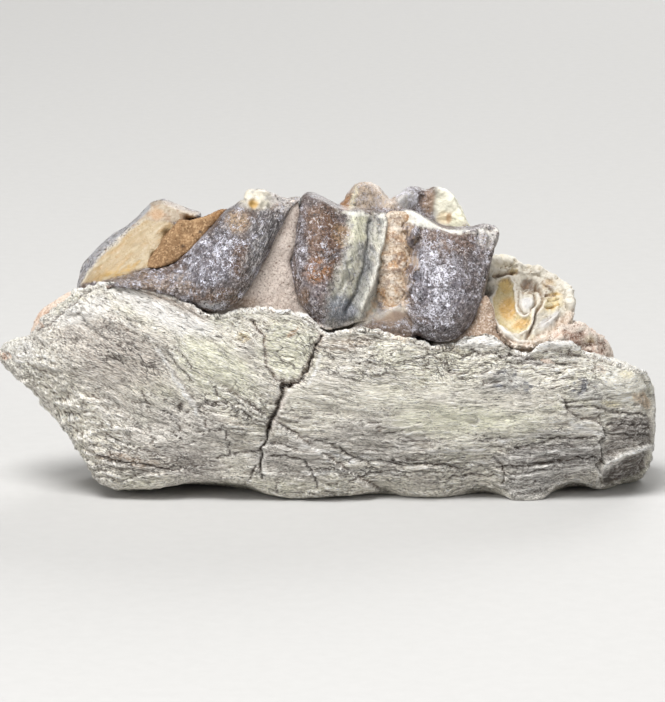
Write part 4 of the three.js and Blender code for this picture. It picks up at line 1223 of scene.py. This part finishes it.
# The crust in the valley meets the lobes along ragged edges.
ragged = in_patch(middle_marked, RAGGED_VALLEY, 5.0) * cheek
middle_places[:, 1] -= ragged * (0.15 + 0.75 * layers(middle_places / (0.7, 1.0, 0.9), 523))
hollow = in_patch(middle_marked, LIP_HOLLOW, 5.0) * ease_between(0.4, -0.8, middle_places[:, 1])
middle_places[:, 1] += hollow * np.minimum(0.0, LIP_FRONT - middle_places[:, 1])
middle_relief = np.zeros(len(middle_places))
for half, height, line in MIDDLE_LINES:
    middle_relief += middle_front * height * stroke(middle_marked, line, half)
cusp_rough = 0.14 * layers(middle_places / 0.8, 526) + 0.05 * layers(middle_places / 0.3, 528)
middle_relief += (1.0 - cheek) * cusp_rough
middle_x, middle_y, middle_z = middle_places.T
chip = in_spot(middle_marked, *CHIP) * cheek
middle_relief += 0.50 * chip * layers(columns(2.2 * middle_x, middle_y, 0.8 * middle_z), 531)
ribs = in_patch(rib_marked, RIBS, 7.0) * cheek
rib_lines = layers(columns(3.2 * (middle_x + 0.25 * middle_z), 0.5 * middle_z, middle_y) / 1.6, 541)
middle_relief += 0.08 * ribs * rib_lines
middle_places = middle_places + middle_relief[:, None] * middle_out
# The rear left cusp is worn flat.
CUSP_TOP = 182.0
CUSP_REACH = 12.0
CUSP_ACROSS = (390.0, 380.0)
CUSP_WEAR = 0.07
above = np.clip(CUSP_TOP - seen(middle_places)[:, 1], 0.0, CUSP_REACH)
middle_places[:, 2] -= CUSP_WEAR * above * ease_between(*CUSP_ACROSS, middle_seen[:, 0])
put_places(middle, middle_places)

MIDDLE_GREY = colour(94, 82, 79)
MIDDLE_FROST_GREY = colour(146, 142, 148)
RIB_GREEN = colour(190, 188, 174)
RIB_GREY = colour(112, 114, 116)
RIB_PALE = colour(206, 204, 186)
RIB_VEIN = colour(84, 86, 90)
VALLEY_TAN = colour(192, 168, 142)
LIP_TAN = colour(150, 130, 114)
RIM_WHITE = colour(226, 224, 214)
CHIP_WHITE = colour(214, 210, 204)
CUSP_CREAM = colour(230, 226, 206)
LOBE_SPOTS = (
    ((322, 246), (24, 54), 4, colour(116, 82, 54), 0.8),
    ((316, 220), (16, 22), -20, colour(116, 86, 62), 0.85),
    ((342, 237), (13, 18), -15, colour(152, 122, 86), 0.9),
    ((318, 270), (19, 17), -30, colour(152, 104, 60), 0.9),
    ((303, 298), (9, 14), 20, colour(134, 102, 70), 0.8),
    ((302, 252), (9, 24), 0, colour(104, 96, 98), 0.7),
    ((322, 292), (12, 14), 0, colour(134, 122, 126), 0.6),
    ((450, 240), (42, 18), 10, colour(122, 99, 86), 0.85),
    ((440, 290), (36, 36), 0, colour(100, 97, 108), 0.75),
    # The dark strip down the right lobe's right edge is painted shade on the side turned away from the light.
    ((474, 285), (14, 44), 5, colour(98, 90, 92), 0.8),
    ((436, 332), (36, 13), 0, colour(84, 78, 82), 0.85),
    ((385, 328), (30, 7), -10, colour(124, 112, 106), 0.7),
)
RIB_SPOTS = (
    ((358, 228), (10, 22), 8, colour(214, 212, 184), 0.8),
    ((352, 276), (16, 34), 14, colour(184, 182, 162), 0.55),
    ((342, 312), (24, 15), -8, colour(98, 104, 116), 0.75),
    ((366, 296), (9, 26), 20, colour(112, 116, 124), 0.5),
)
VEIN_SPOT = ((346, 278), (26, 44), 12, RIB_VEIN, 0.75)
VALLEY_STROKE = (3.2, 0.7, colour(150, 144, 124), ((391, 222), (388, 250), (381, 280)))
RIB_STROKES = (
    (3.0, 0.65, colour(112, 116, 122), GROOVE_LINE),
    (2.6, 0.9, colour(228, 226, 214), RIB_LINE),
    (3.0, 0.7, colour(222, 220, 196), ((357, 216), (355, 238))),
    (2.0, 0.7, colour(90, 86, 88), SCRATCH_LINE),
)
RIB_FOOT_SPOT = ((340, 308), (22, 18), 30, colour(122, 128, 138), 0.7)
VALLEY = (
    (382, 234), (392, 224), (412, 222), (419, 240), (421, 262), (412, 286), (410, 300), (402, 316),
    (372, 316), (360, 318), (374, 300), (384, 270),
)
LIP_FOOT = ((356, 324), (380, 313), (396, 306), (410, 312), (418, 326), (404, 338), (372, 338))
# Under the lip a dark stroke is painted shadow. Along its upper edge a pale stroke is partly the lip's own
# pale enamel and partly a painted highlight.
LIP_SHADOW_AND_HIGHLIGHT = (
    (4.0, 0.7, colour(84, 66, 54), ((350, 333), (376, 330), (400, 326), (418, 334))),
    (2.6, 0.8, colour(206, 197, 184),
     ((320, 325), (334, 330), (350, 325), (366, 317), (382, 310), (394, 304), (406, 309))),
)
RIM_LINE = (
    (300, 196), (318, 197), (334, 210), (352, 213), (380, 215), (400, 214), (412, 213), (426, 221),
    (442, 231), (460, 233), (480, 231), (496, 232),
)
RIM_PATCH = ((402, 212), (414, 211), (430, 221), (444, 231), (424, 228), (406, 222))
RIM_START = (330, 350)
BACK_CUSPS = (
    ((372, 200), (44, 34), 0, colour(196, 178, 158), 0.95),
    ((345, 205), (8, 16), 25, colour(152, 106, 60), 0.9),
    ((353, 201), (4, 20), 15, colour(232, 222, 194), 0.95),
    ((406, 198), (14, 14), 0, colour(198, 196, 194), 0.9),
    ((451, 208), (23, 34), -18, CUSP_CREAM, 0.95),
    ((461, 222), (16, 16), 0, colour(234, 230, 204), 0.95),
    ((428, 202), (9, 18), 8, colour(156, 130, 108), 0.9),
    ((444, 218), (10, 9), 0, colour(226, 206, 170), 0.8),
    ((449, 218), (4, 8), 10, colour(172, 134, 94), 0.8),
)
PALE_CUSP_SPOTS = (((451, 208), (23, 34), -18), ((461, 222), (16, 16), 0))
BEHIND_RIM = ((338.0, 344.0), (211.0, 206.0))
middle_coat = np.tile(MIDDLE_GREY, (len(middle_places), 1))
middle_cloud = layers(middle_places / 1.3, 551)
paint(middle_coat, 0.6 * ease_between(0.0, 0.6, middle_cloud), ENAMEL_BROWN)
paint(middle_coat, 0.5 * ease_between(0.1, 0.6, -middle_cloud), MIDDLE_FROST_GREY)
paint_spots(middle_coat, middle_marked, cheek * middle_front, LOBE_SPOTS)
paint(middle_coat, 0.92 * ribs, RIB_GREEN)
paint(middle_coat, 0.8 * ribs * ease_between(0.05, 0.45, rib_lines), RIB_GREY)
paint(middle_coat, 0.8 * ribs * ease_between(0.05, 0.5, -rib_lines), RIB_PALE)
paint_spots(middle_coat, rib_marked, ribs, RIB_SPOTS)
veins = np.abs(layers(middle_places / (0.9, 1.0, 1.3), 548))
paint_spots(middle_coat, rib_marked, ribs * ease_between(0.12, 0.03, veins), (VEIN_SPOT,))
paint_strokes(middle_coat, rib_marked, cheek, (VALLEY_STROKE,))
paint_strokes(middle_coat, middle_marked, cheek, RIB_STROKES)
paint_spots(middle_coat, middle_marked, cheek, (RIB_FOOT_SPOT,))
valley_spill = in_patch(middle_marked, VALLEY, 3.0) * cheek
paint(middle_coat, 0.9 * valley_spill * clouds(middle_places, 0.6, 546, -0.3, 0.1), VALLEY_TAN)
lip_foot = in_patch(middle_marked, LIP_FOOT, 3.0) * cheek
paint(middle_coat, 0.85 * lip_foot, LIP_TAN)
paint_strokes(middle_coat, middle_marked, cheek, LIP_SHADOW_AND_HIGHLIGHT)
rim_gap, _ = off_line(middle_marked, RIM_LINE)
rim_share = (1.0 - ease_between(1.2, 3.6, rim_gap)) * clouds(middle_places, 0.6, 556, -0.45, 0.1)
rim_share = np.maximum(rim_share, in_patch(middle_marked, RIM_PATCH, 1.5))
paint(middle_coat, 0.92 * cheek * rim_share * ease_between(*RIM_START, middle_seen[:, 0]), RIM_WHITE)
paint(middle_coat, 0.9 * chip, CHIP_WHITE)
behind = np.maximum(1.0 - cheek, in_corner(middle_marked, *BEHIND_RIM))
paint_spots(middle_coat, middle_marked, behind, BACK_CUSPS)
keep_coat(middle, middle_coat)
pale_cusp = behind * np.clip(sum(in_spot(middle_marked, *spot) for spot in PALE_CUSP_SPOTS), 0.0, 1.0)
smooth_rib = np.clip(0.8 * ribs + pale_cusp + rim_share * cheek, 0.0, 1.0)
middle_enamel = 1.0 - 0.85 * smooth_rib - 0.6 * behind - 0.7 * valley_spill - 0.6 * lip_foot
keep_value(middle, "enamel", np.clip(middle_enamel, 0.0, 1.0))
middle_x, middle_y, middle_z = middle_places.T
keep_vector(middle, "comb", columns(middle_x + 0.25 * middle_z, middle_z, middle_y))
keep_value(middle, "lined", np.clip(0.55 * ribs + 0.5 * chip, 0.0, 1.0))
# Frost lies thickest on the right lobe and on the cusp behind: middle, reach, turn, share.
CUSP_FROST_SPOT = ((406, 198), (16, 16))
FROST_SPOTS = (
    ((438, 286), (42, 60), 8, 0.28),
    ((430, 270), (24, 50), 0, 0.10),
    ((306, 250), (22, 56), 10, 0.12),
)
LEFT_LOBE = (352.0, 338.0)
frost = 0.26 + 0.25 * layers(middle_places / 1.1, 561)
frost += 0.45 * (1.0 - cheek) * in_spot(middle_marked, *CUSP_FROST_SPOT)
for spot, reach, turn, share in FROST_SPOTS:
    frost += share * cheek * in_spot(middle_marked, spot, reach, turn)
frost -= 0.09 * cheek * ease_between(*LEFT_LOBE, middle_seen[:, 0])
keep_value(middle, "frost", np.clip(frost, 0.0, 1.0) * (1.0 - 0.9 * smooth_rib))
smooth_faces(middle)
middle.data.materials.append(enamel_finish("mottled_enamel", tone(232, 230, 240), tone(148, 142, 152)))
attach(middle, "root")
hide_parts("middle_molar")

# Valley filling: a tan speckled crust of the same rock in the fold between the middle molar's two lobes.
# It set there as a thin strip and holds by its own grip on the enamel.
CRUST_TAN = colour(184, 164, 142)
CRUST_ORANGE = colour(182, 140, 98)
CRUST_GREY = colour(140, 126, 118)
CRUST_PALE = colour(212, 204, 192)
CRUST_GRID = 0.10
CRUST_ROUNDS = 8
CRUST_SPREAD = (2.6, 0.2, 0.8)
crust, _, crust_places, crust_out = smooth_copy("valley_filling", "valley_crust", CRUST_GRID, CRUST_ROUNDS)
crust_swell = 0.34 + 0.36 * layers(crust_places / 0.9, 601)
crust_places = crust_places + crust_swell[:, None] * crust_out * CRUST_SPREAD
crust_roughness = 0.10 * layers(crust_places / 0.9, 606) + 0.07 * layers(crust_places / 0.25, 611)
crust_places[:, 1] += (crust_roughness - 0.12) * ease_between(0.2, 0.6, -crust_out[:, 1])
put_places(crust, crust_places)
crust_coat = np.tile(CRUST_TAN, (len(crust_places), 1))
paint(crust_coat, 0.7 * clouds(crust_places, 0.7, 621, 0.0, 0.5), CRUST_ORANGE)
paint(crust_coat, 0.6 * clouds(crust_places, 0.5, 631, 0.1, 0.6), CRUST_GREY)
paint(crust_coat, 0.65 * clouds(crust_places, 0.45, 636, 0.05, 0.4), CRUST_PALE)
keep_coat(crust, crust_coat)
smooth_faces(crust)
tan_grit = grit_finish("tan_grit", 5.0, tone(230, 220, 206), tone(104, 84, 72), 0.08)
strew_grains(crust, tan_grit, per_mm2=9.0, radius_mm=0.06, seed=641)
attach(crust, "root")
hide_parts("valley_filling")

# Front molar: one lobe of a tooth worn down to its dentine, cream and yellow with two amber islands.
# A white rim of enamel is left round it, and its fossette holds a white knob. It grew in its socket.
FRONT_GRID = 0.07
FRONT_ROUNDS = 6
CAP = ((503, 271), (24, 16))
CAP_LIFT = 0.7
EAR = (
    (499, 277), (510, 278), (515, 286), (517, 299), (518, 312), (524, 316), (533, 311), (532, 325),
    (527, 332), (518, 336), (507, 334), (497, 325), (491, 313), (491, 299), (495, 288),
)
CREVICE = ((536, 284), (541, 292), (543, 299), (540, 306), (536, 312), (534, 323), (527, 338))
FOOT_LINE = (
    (484, 296), (489, 312), (495, 325), (506, 334), (518, 339), (528, 340), (537, 333), (550, 325),
    (563, 314), (576, 306),
)
OUTER_RING = (
    (484, 300), (486, 256), (520, 252), (560, 262), (580, 300), (566, 314), (563, 296), (555, 282),
    (540, 275), (516, 275), (496, 280), (490, 300),
)
# Knobs, folds and crevices of the worn face: half the width, height in mm, line.
FRONT_LINES = (
    (4.5, 0.45, ((524, 303), (531, 304))),
    (4.0, -0.55, ((523, 286), (529, 282), (535, 287))),
    (1.5, -0.32, ((517, 290), (518, 304), (522, 313), (530, 313), (535, 304), (535, 294))),
    (1.4, -0.28, CREVICE),
    (1.8, 0.22, EAR),
    (4.0, 0.30, ((545, 284), (556, 290), (561, 302), (554, 314))),
    (1.4, -0.20, ((546, 296), (558, 295))),
    (1.4, -0.20, ((545, 307), (556, 308))),
    (1.2, -0.16, ((548, 301), (560, 301))),
    (4.0, 0.45, ((492, 264), (500, 260), (510, 262))),
    (2.4, -0.50, ((494, 276), (503, 275), (512, 273))),
    (3.0, 0.35, ((569, 300), (571, 306))),
    (2.4, 0.30, ((534, 332), (550, 323), (563, 312))),
)
front, front_edges, front_places, front_out = crown_copy(
    "front_molar", "front_molar_crown", FRONT_GRID, FRONT_ROUNDS, 701)
cap = in_spot(seen(front_places), *CAP) * ease_between(-0.2, 0.4, front_out[:, 2])
front_places[:, 2] += CAP_LIFT * cap
front_facing = ease_between(-0.05, 0.3, toward_eye(front_out))
front_marked = shaken(seen(front_places), front_places, 0.5, 711, 1.0)
gap, side = off_line(front_marked, FOOT_LINE)
wall = ease_between(0.0, 3.0, gap * side) * front_facing
outer = in_patch(front_marked, OUTER_RING, 3.0) * front_facing
wall_rough = 0.22 * layers(front_places / 0.6, 736) + 0.16 * np.abs(layers(front_places / 0.3, 737)) - 0.25
outer_rough = 0.30 * layers(front_places / 0.8, 738) + 0.12 * np.abs(layers(front_places / 0.3, 739))
front_relief = 0.08 * layers(front_places / 0.6, 731) + 0.07 * np.abs(layers(front_places / 0.25, 735))
front_relief += wall * wall_rough + outer * outer_rough
for half, height, line in FRONT_LINES:
    front_relief += height * stroke(front_marked, line, half)
front_places = front_places + (front_relief * (0.3 + 0.7 * front_facing))[:, None] * front_out
put_places(front, front_places)
front_out = outward(front)

FRONT_CREAM = colour(192, 186, 172)
FRONT_TAN = colour(190, 174, 142)
WALL_PINK = colour(188, 168, 150)
WALL_PALE = colour(220, 210, 196)
EAR_YELLOW = colour(198, 182, 138)
CRUMB_BROWN = colour(120, 98, 78)
FRONT_CREVICE_SHADE = colour(112, 88, 64)
FRONT_RIDGE_HIGHLIGHT = colour(222, 218, 211)
FRONT_SPOTS = (
    ((508, 309), (12, 15), 0, colour(206, 167, 101), 0.95),
    ((521, 324), (12, 7), -15, colour(203, 165, 102), 0.95),
    ((505, 286), (8, 11), 0, colour(190, 162, 100), 0.85),
    ((527, 304), (9, 8), 0, colour(190, 188, 186), 0.95),
    ((528, 284), (10, 8), 20, colour(98, 84, 74), 0.9),
    ((548, 284), (9, 6), -30, colour(178, 152, 116), 0.7),
    ((553, 303), (14, 12), -30, colour(206, 190, 146), 0.85),
    ((556, 295), (10, 2.5), 0, colour(190, 158, 96), 0.8),
    ((551, 308), (10, 2.5), -5, colour(190, 158, 96), 0.8),
    ((548, 322), (18, 6), -32, colour(186, 184, 182), 0.95),
    ((490, 310), (4, 26), -10, colour(206, 202, 196), 0.8),
    ((503, 263), (18, 9), 0, colour(208, 200, 178), 0.9),
    ((514, 272), (7, 5), 0, colour(176, 156, 108), 0.8),
    ((571, 303), (6, 7), 0, colour(204, 196, 176), 0.9),
)
# Crumbs of grit sit in the fossette, in the folds on the right and on the worn cap.
CRUMB_SPOTS = (
    ((528, 288), (15, 13), 0, CRUMB_BROWN, 0.8),
    ((546, 290), (12, 14), 0, CRUMB_BROWN, 0.8),
    ((512, 271), (12, 8), 0, CRUMB_BROWN, 0.8),
)
FRONT_STROKES = (
    # The dark stroke along the crevice is painted shade in its groove.
    (1.8, 0.6, colour(116, 90, 64), CREVICE),
    (1.8, 0.75, colour(214, 208, 198), EAR + EAR[:1]),
)
front_coat = np.tile(FRONT_CREAM, (len(front_places), 1))
paint(front_coat, 0.5 * clouds(front_places, 0.8, 741, 0.0, 0.6), FRONT_TAN)
paint(front_coat, 0.9 * wall, WALL_PINK)
paint(front_coat, 0.8 * wall * clouds(front_places, 0.5, 745, 0.0, 0.4), WALL_PALE)
paint(front_coat, 0.95 * front_facing * in_patch(front_marked, EAR, 2.0), EAR_YELLOW)
paint_spots(front_coat, front_marked, front_facing, FRONT_SPOTS)
crumbs = front_facing * clouds(front_places, 0.22, 751, 0.0, 0.35)
paint_spots(front_coat, front_marked, crumbs, CRUMB_SPOTS)
paint_strokes(front_coat, front_marked, front_facing, FRONT_STROKES)
# Hollows are darkened with painted shade, and raised places are lightened with a painted highlight.
sunk = hollows(front_places, front_edges, front_out, 8)
paint(front_coat, 0.75 * ease_between(0.006, 0.045, sunk), FRONT_CREVICE_SHADE)
paint(front_coat, 0.5 * ease_between(0.0, 0.05, -sunk), FRONT_RIDGE_HIGHLIGHT)
keep_coat(front, front_coat)
smooth_faces(front)
dentine_finish, tree, shader, own = new_finish("worn_dentine")
fine = speckle(tree, own, 7.0, 3.0, 0.6)
wear = speckle(tree, own, 2.2, 4.0, 0.6)
skin = lay_over(tree, held(tree, "tint", "Color"), tone(236, 230, 219), wear, 0.5, 0.72, 0.25)
skin = lay_over(tree, skin, tone(150, 122, 84), fine, 0.42, 0.28, 0.4)
dress_shader(tree, shader, skin, between(tree, wear, 0.3, 0.7, 0.38, 0.6), 0.5, fine, 0.07, 0.9)
front.data.materials.append(dentine_finish)
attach(front, "root")
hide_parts("front_molar")

# Floor, lights and camera: a plain pale floor that curves up behind, large soft lights and the
# picture's view. Sizes and places are in metres, powers in watts.
FLOOR_HALF = 1.2
FLOOR_FLAT = 0.45
FLOOR_BEND = 0.35
FLOOR_TOP = 1.4
BEND_STEPS = 12
profile = [(-FLOOR_HALF, 0.0), (FLOOR_FLAT, 0.0)]
for step in range(1, BEND_STEPS + 1):
    turn = math.pi / 2 * step / BEND_STEPS
    profile.append((FLOOR_FLAT + FLOOR_BEND * math.sin(turn), FLOOR_BEND * (1.0 - math.cos(turn))))
profile.append((FLOOR_FLAT + FLOOR_BEND, FLOOR_TOP))
corners = [(x, y, z) for y, z in profile for x in (-FLOOR_HALF, FLOOR_HALF)]
faces = [(2 * k, 2 * k + 1, 2 * k + 3, 2 * k + 2) for k in range(len(profile) - 1)]
floor_mesh = bpy.data.meshes.new("floor")
floor_mesh.from_pydata(corners, [], faces)
floor = bpy.data.objects.new("floor", floor_mesh)
bpy.context.scene.collection.objects.link(floor)
smooth_faces(floor)
floor_finish, tree, shader, own = new_finish("pale_paper")
paper = blend(tree, speckle(tree, own, 0.8, 3.0), tone(180, 179, 177), tone(187, 186, 184))
tree.links.new(paper, shader.inputs["Base Color"])
shader.inputs["Roughness"].default_value = 0.9
floor_mesh.materials.append(floor_finish)


def soft_light(name, place, aim, width, height, power):
    """A rectangular lamp at a place, turned to its aim."""
    data = bpy.data.lights.new(name, "AREA")
    data.shape = "RECTANGLE"
    data.size = width
    data.size_y = height
    data.energy = power
    lamp = bpy.data.objects.new(name, data)
    bpy.context.scene.collection.objects.link(lamp)
    lamp.location = place
    direction = [a - b for a, b in zip(place, aim)]
    flat = math.hypot(direction[0], direction[1])
    lamp.rotation_euler = (math.atan2(flat, direction[2]), 0.0, math.atan2(direction[0], -direction[1]))


soft_light("top_light", (-0.12, -0.22, 0.50), (0.0, 0.0, 0.012), 0.30, 0.24, 4.3)
soft_light("left_light", (-0.50, -0.45, 0.30), (0.0, 0.0, 0.010), 0.30, 0.30, 1.4)
soft_light("right_light", (0.55, -0.35, 0.25), (0.0, 0.0, 0.010), 0.30, 0.30, 0.95)
soft_light("back_light", (0.25, 0.60, 0.40), (0.0, 0.0, 0.010), 0.50, 0.40, 3.5)
ROOM_COLOUR = (1.0, 0.99, 0.97, 1.0)
ROOM_STRENGTH = 0.16
world = bpy.data.worlds.new("soft_room")
world.use_nodes = True
world.node_tree.nodes["Background"].inputs["Color"].default_value = ROOM_COLOUR
world.node_tree.nodes["Background"].inputs["Strength"].default_value = ROOM_STRENGTH
bpy.context.scene.world = world
bpy.context.scene.view_settings.view_transform = "Standard"

SENSOR_LONG = 36.0
PICTURE_TALL = 702.0
NEAREST = 0.01
FURTHEST = 20.0
camera_data = bpy.data.cameras.new("picture_view")
camera_data.sensor_fit = "AUTO"
camera_data.sensor_width = SENSOR_LONG
camera_data.lens = PICTURE_FOCUS / PICTURE_TALL * SENSOR_LONG
camera_data.clip_start = NEAREST
camera_data.clip_end = FURTHEST
camera = bpy.data.objects.new("picture_view", camera_data)
bpy.context.scene.collection.objects.link(camera)
camera.location = EYE * MM
camera.rotation_euler = (math.pi / 2 - SIGHT_TILT, 0.0, 0.0)
bpy.context.scene.camera = camera

bpy.context.view_layer.update()
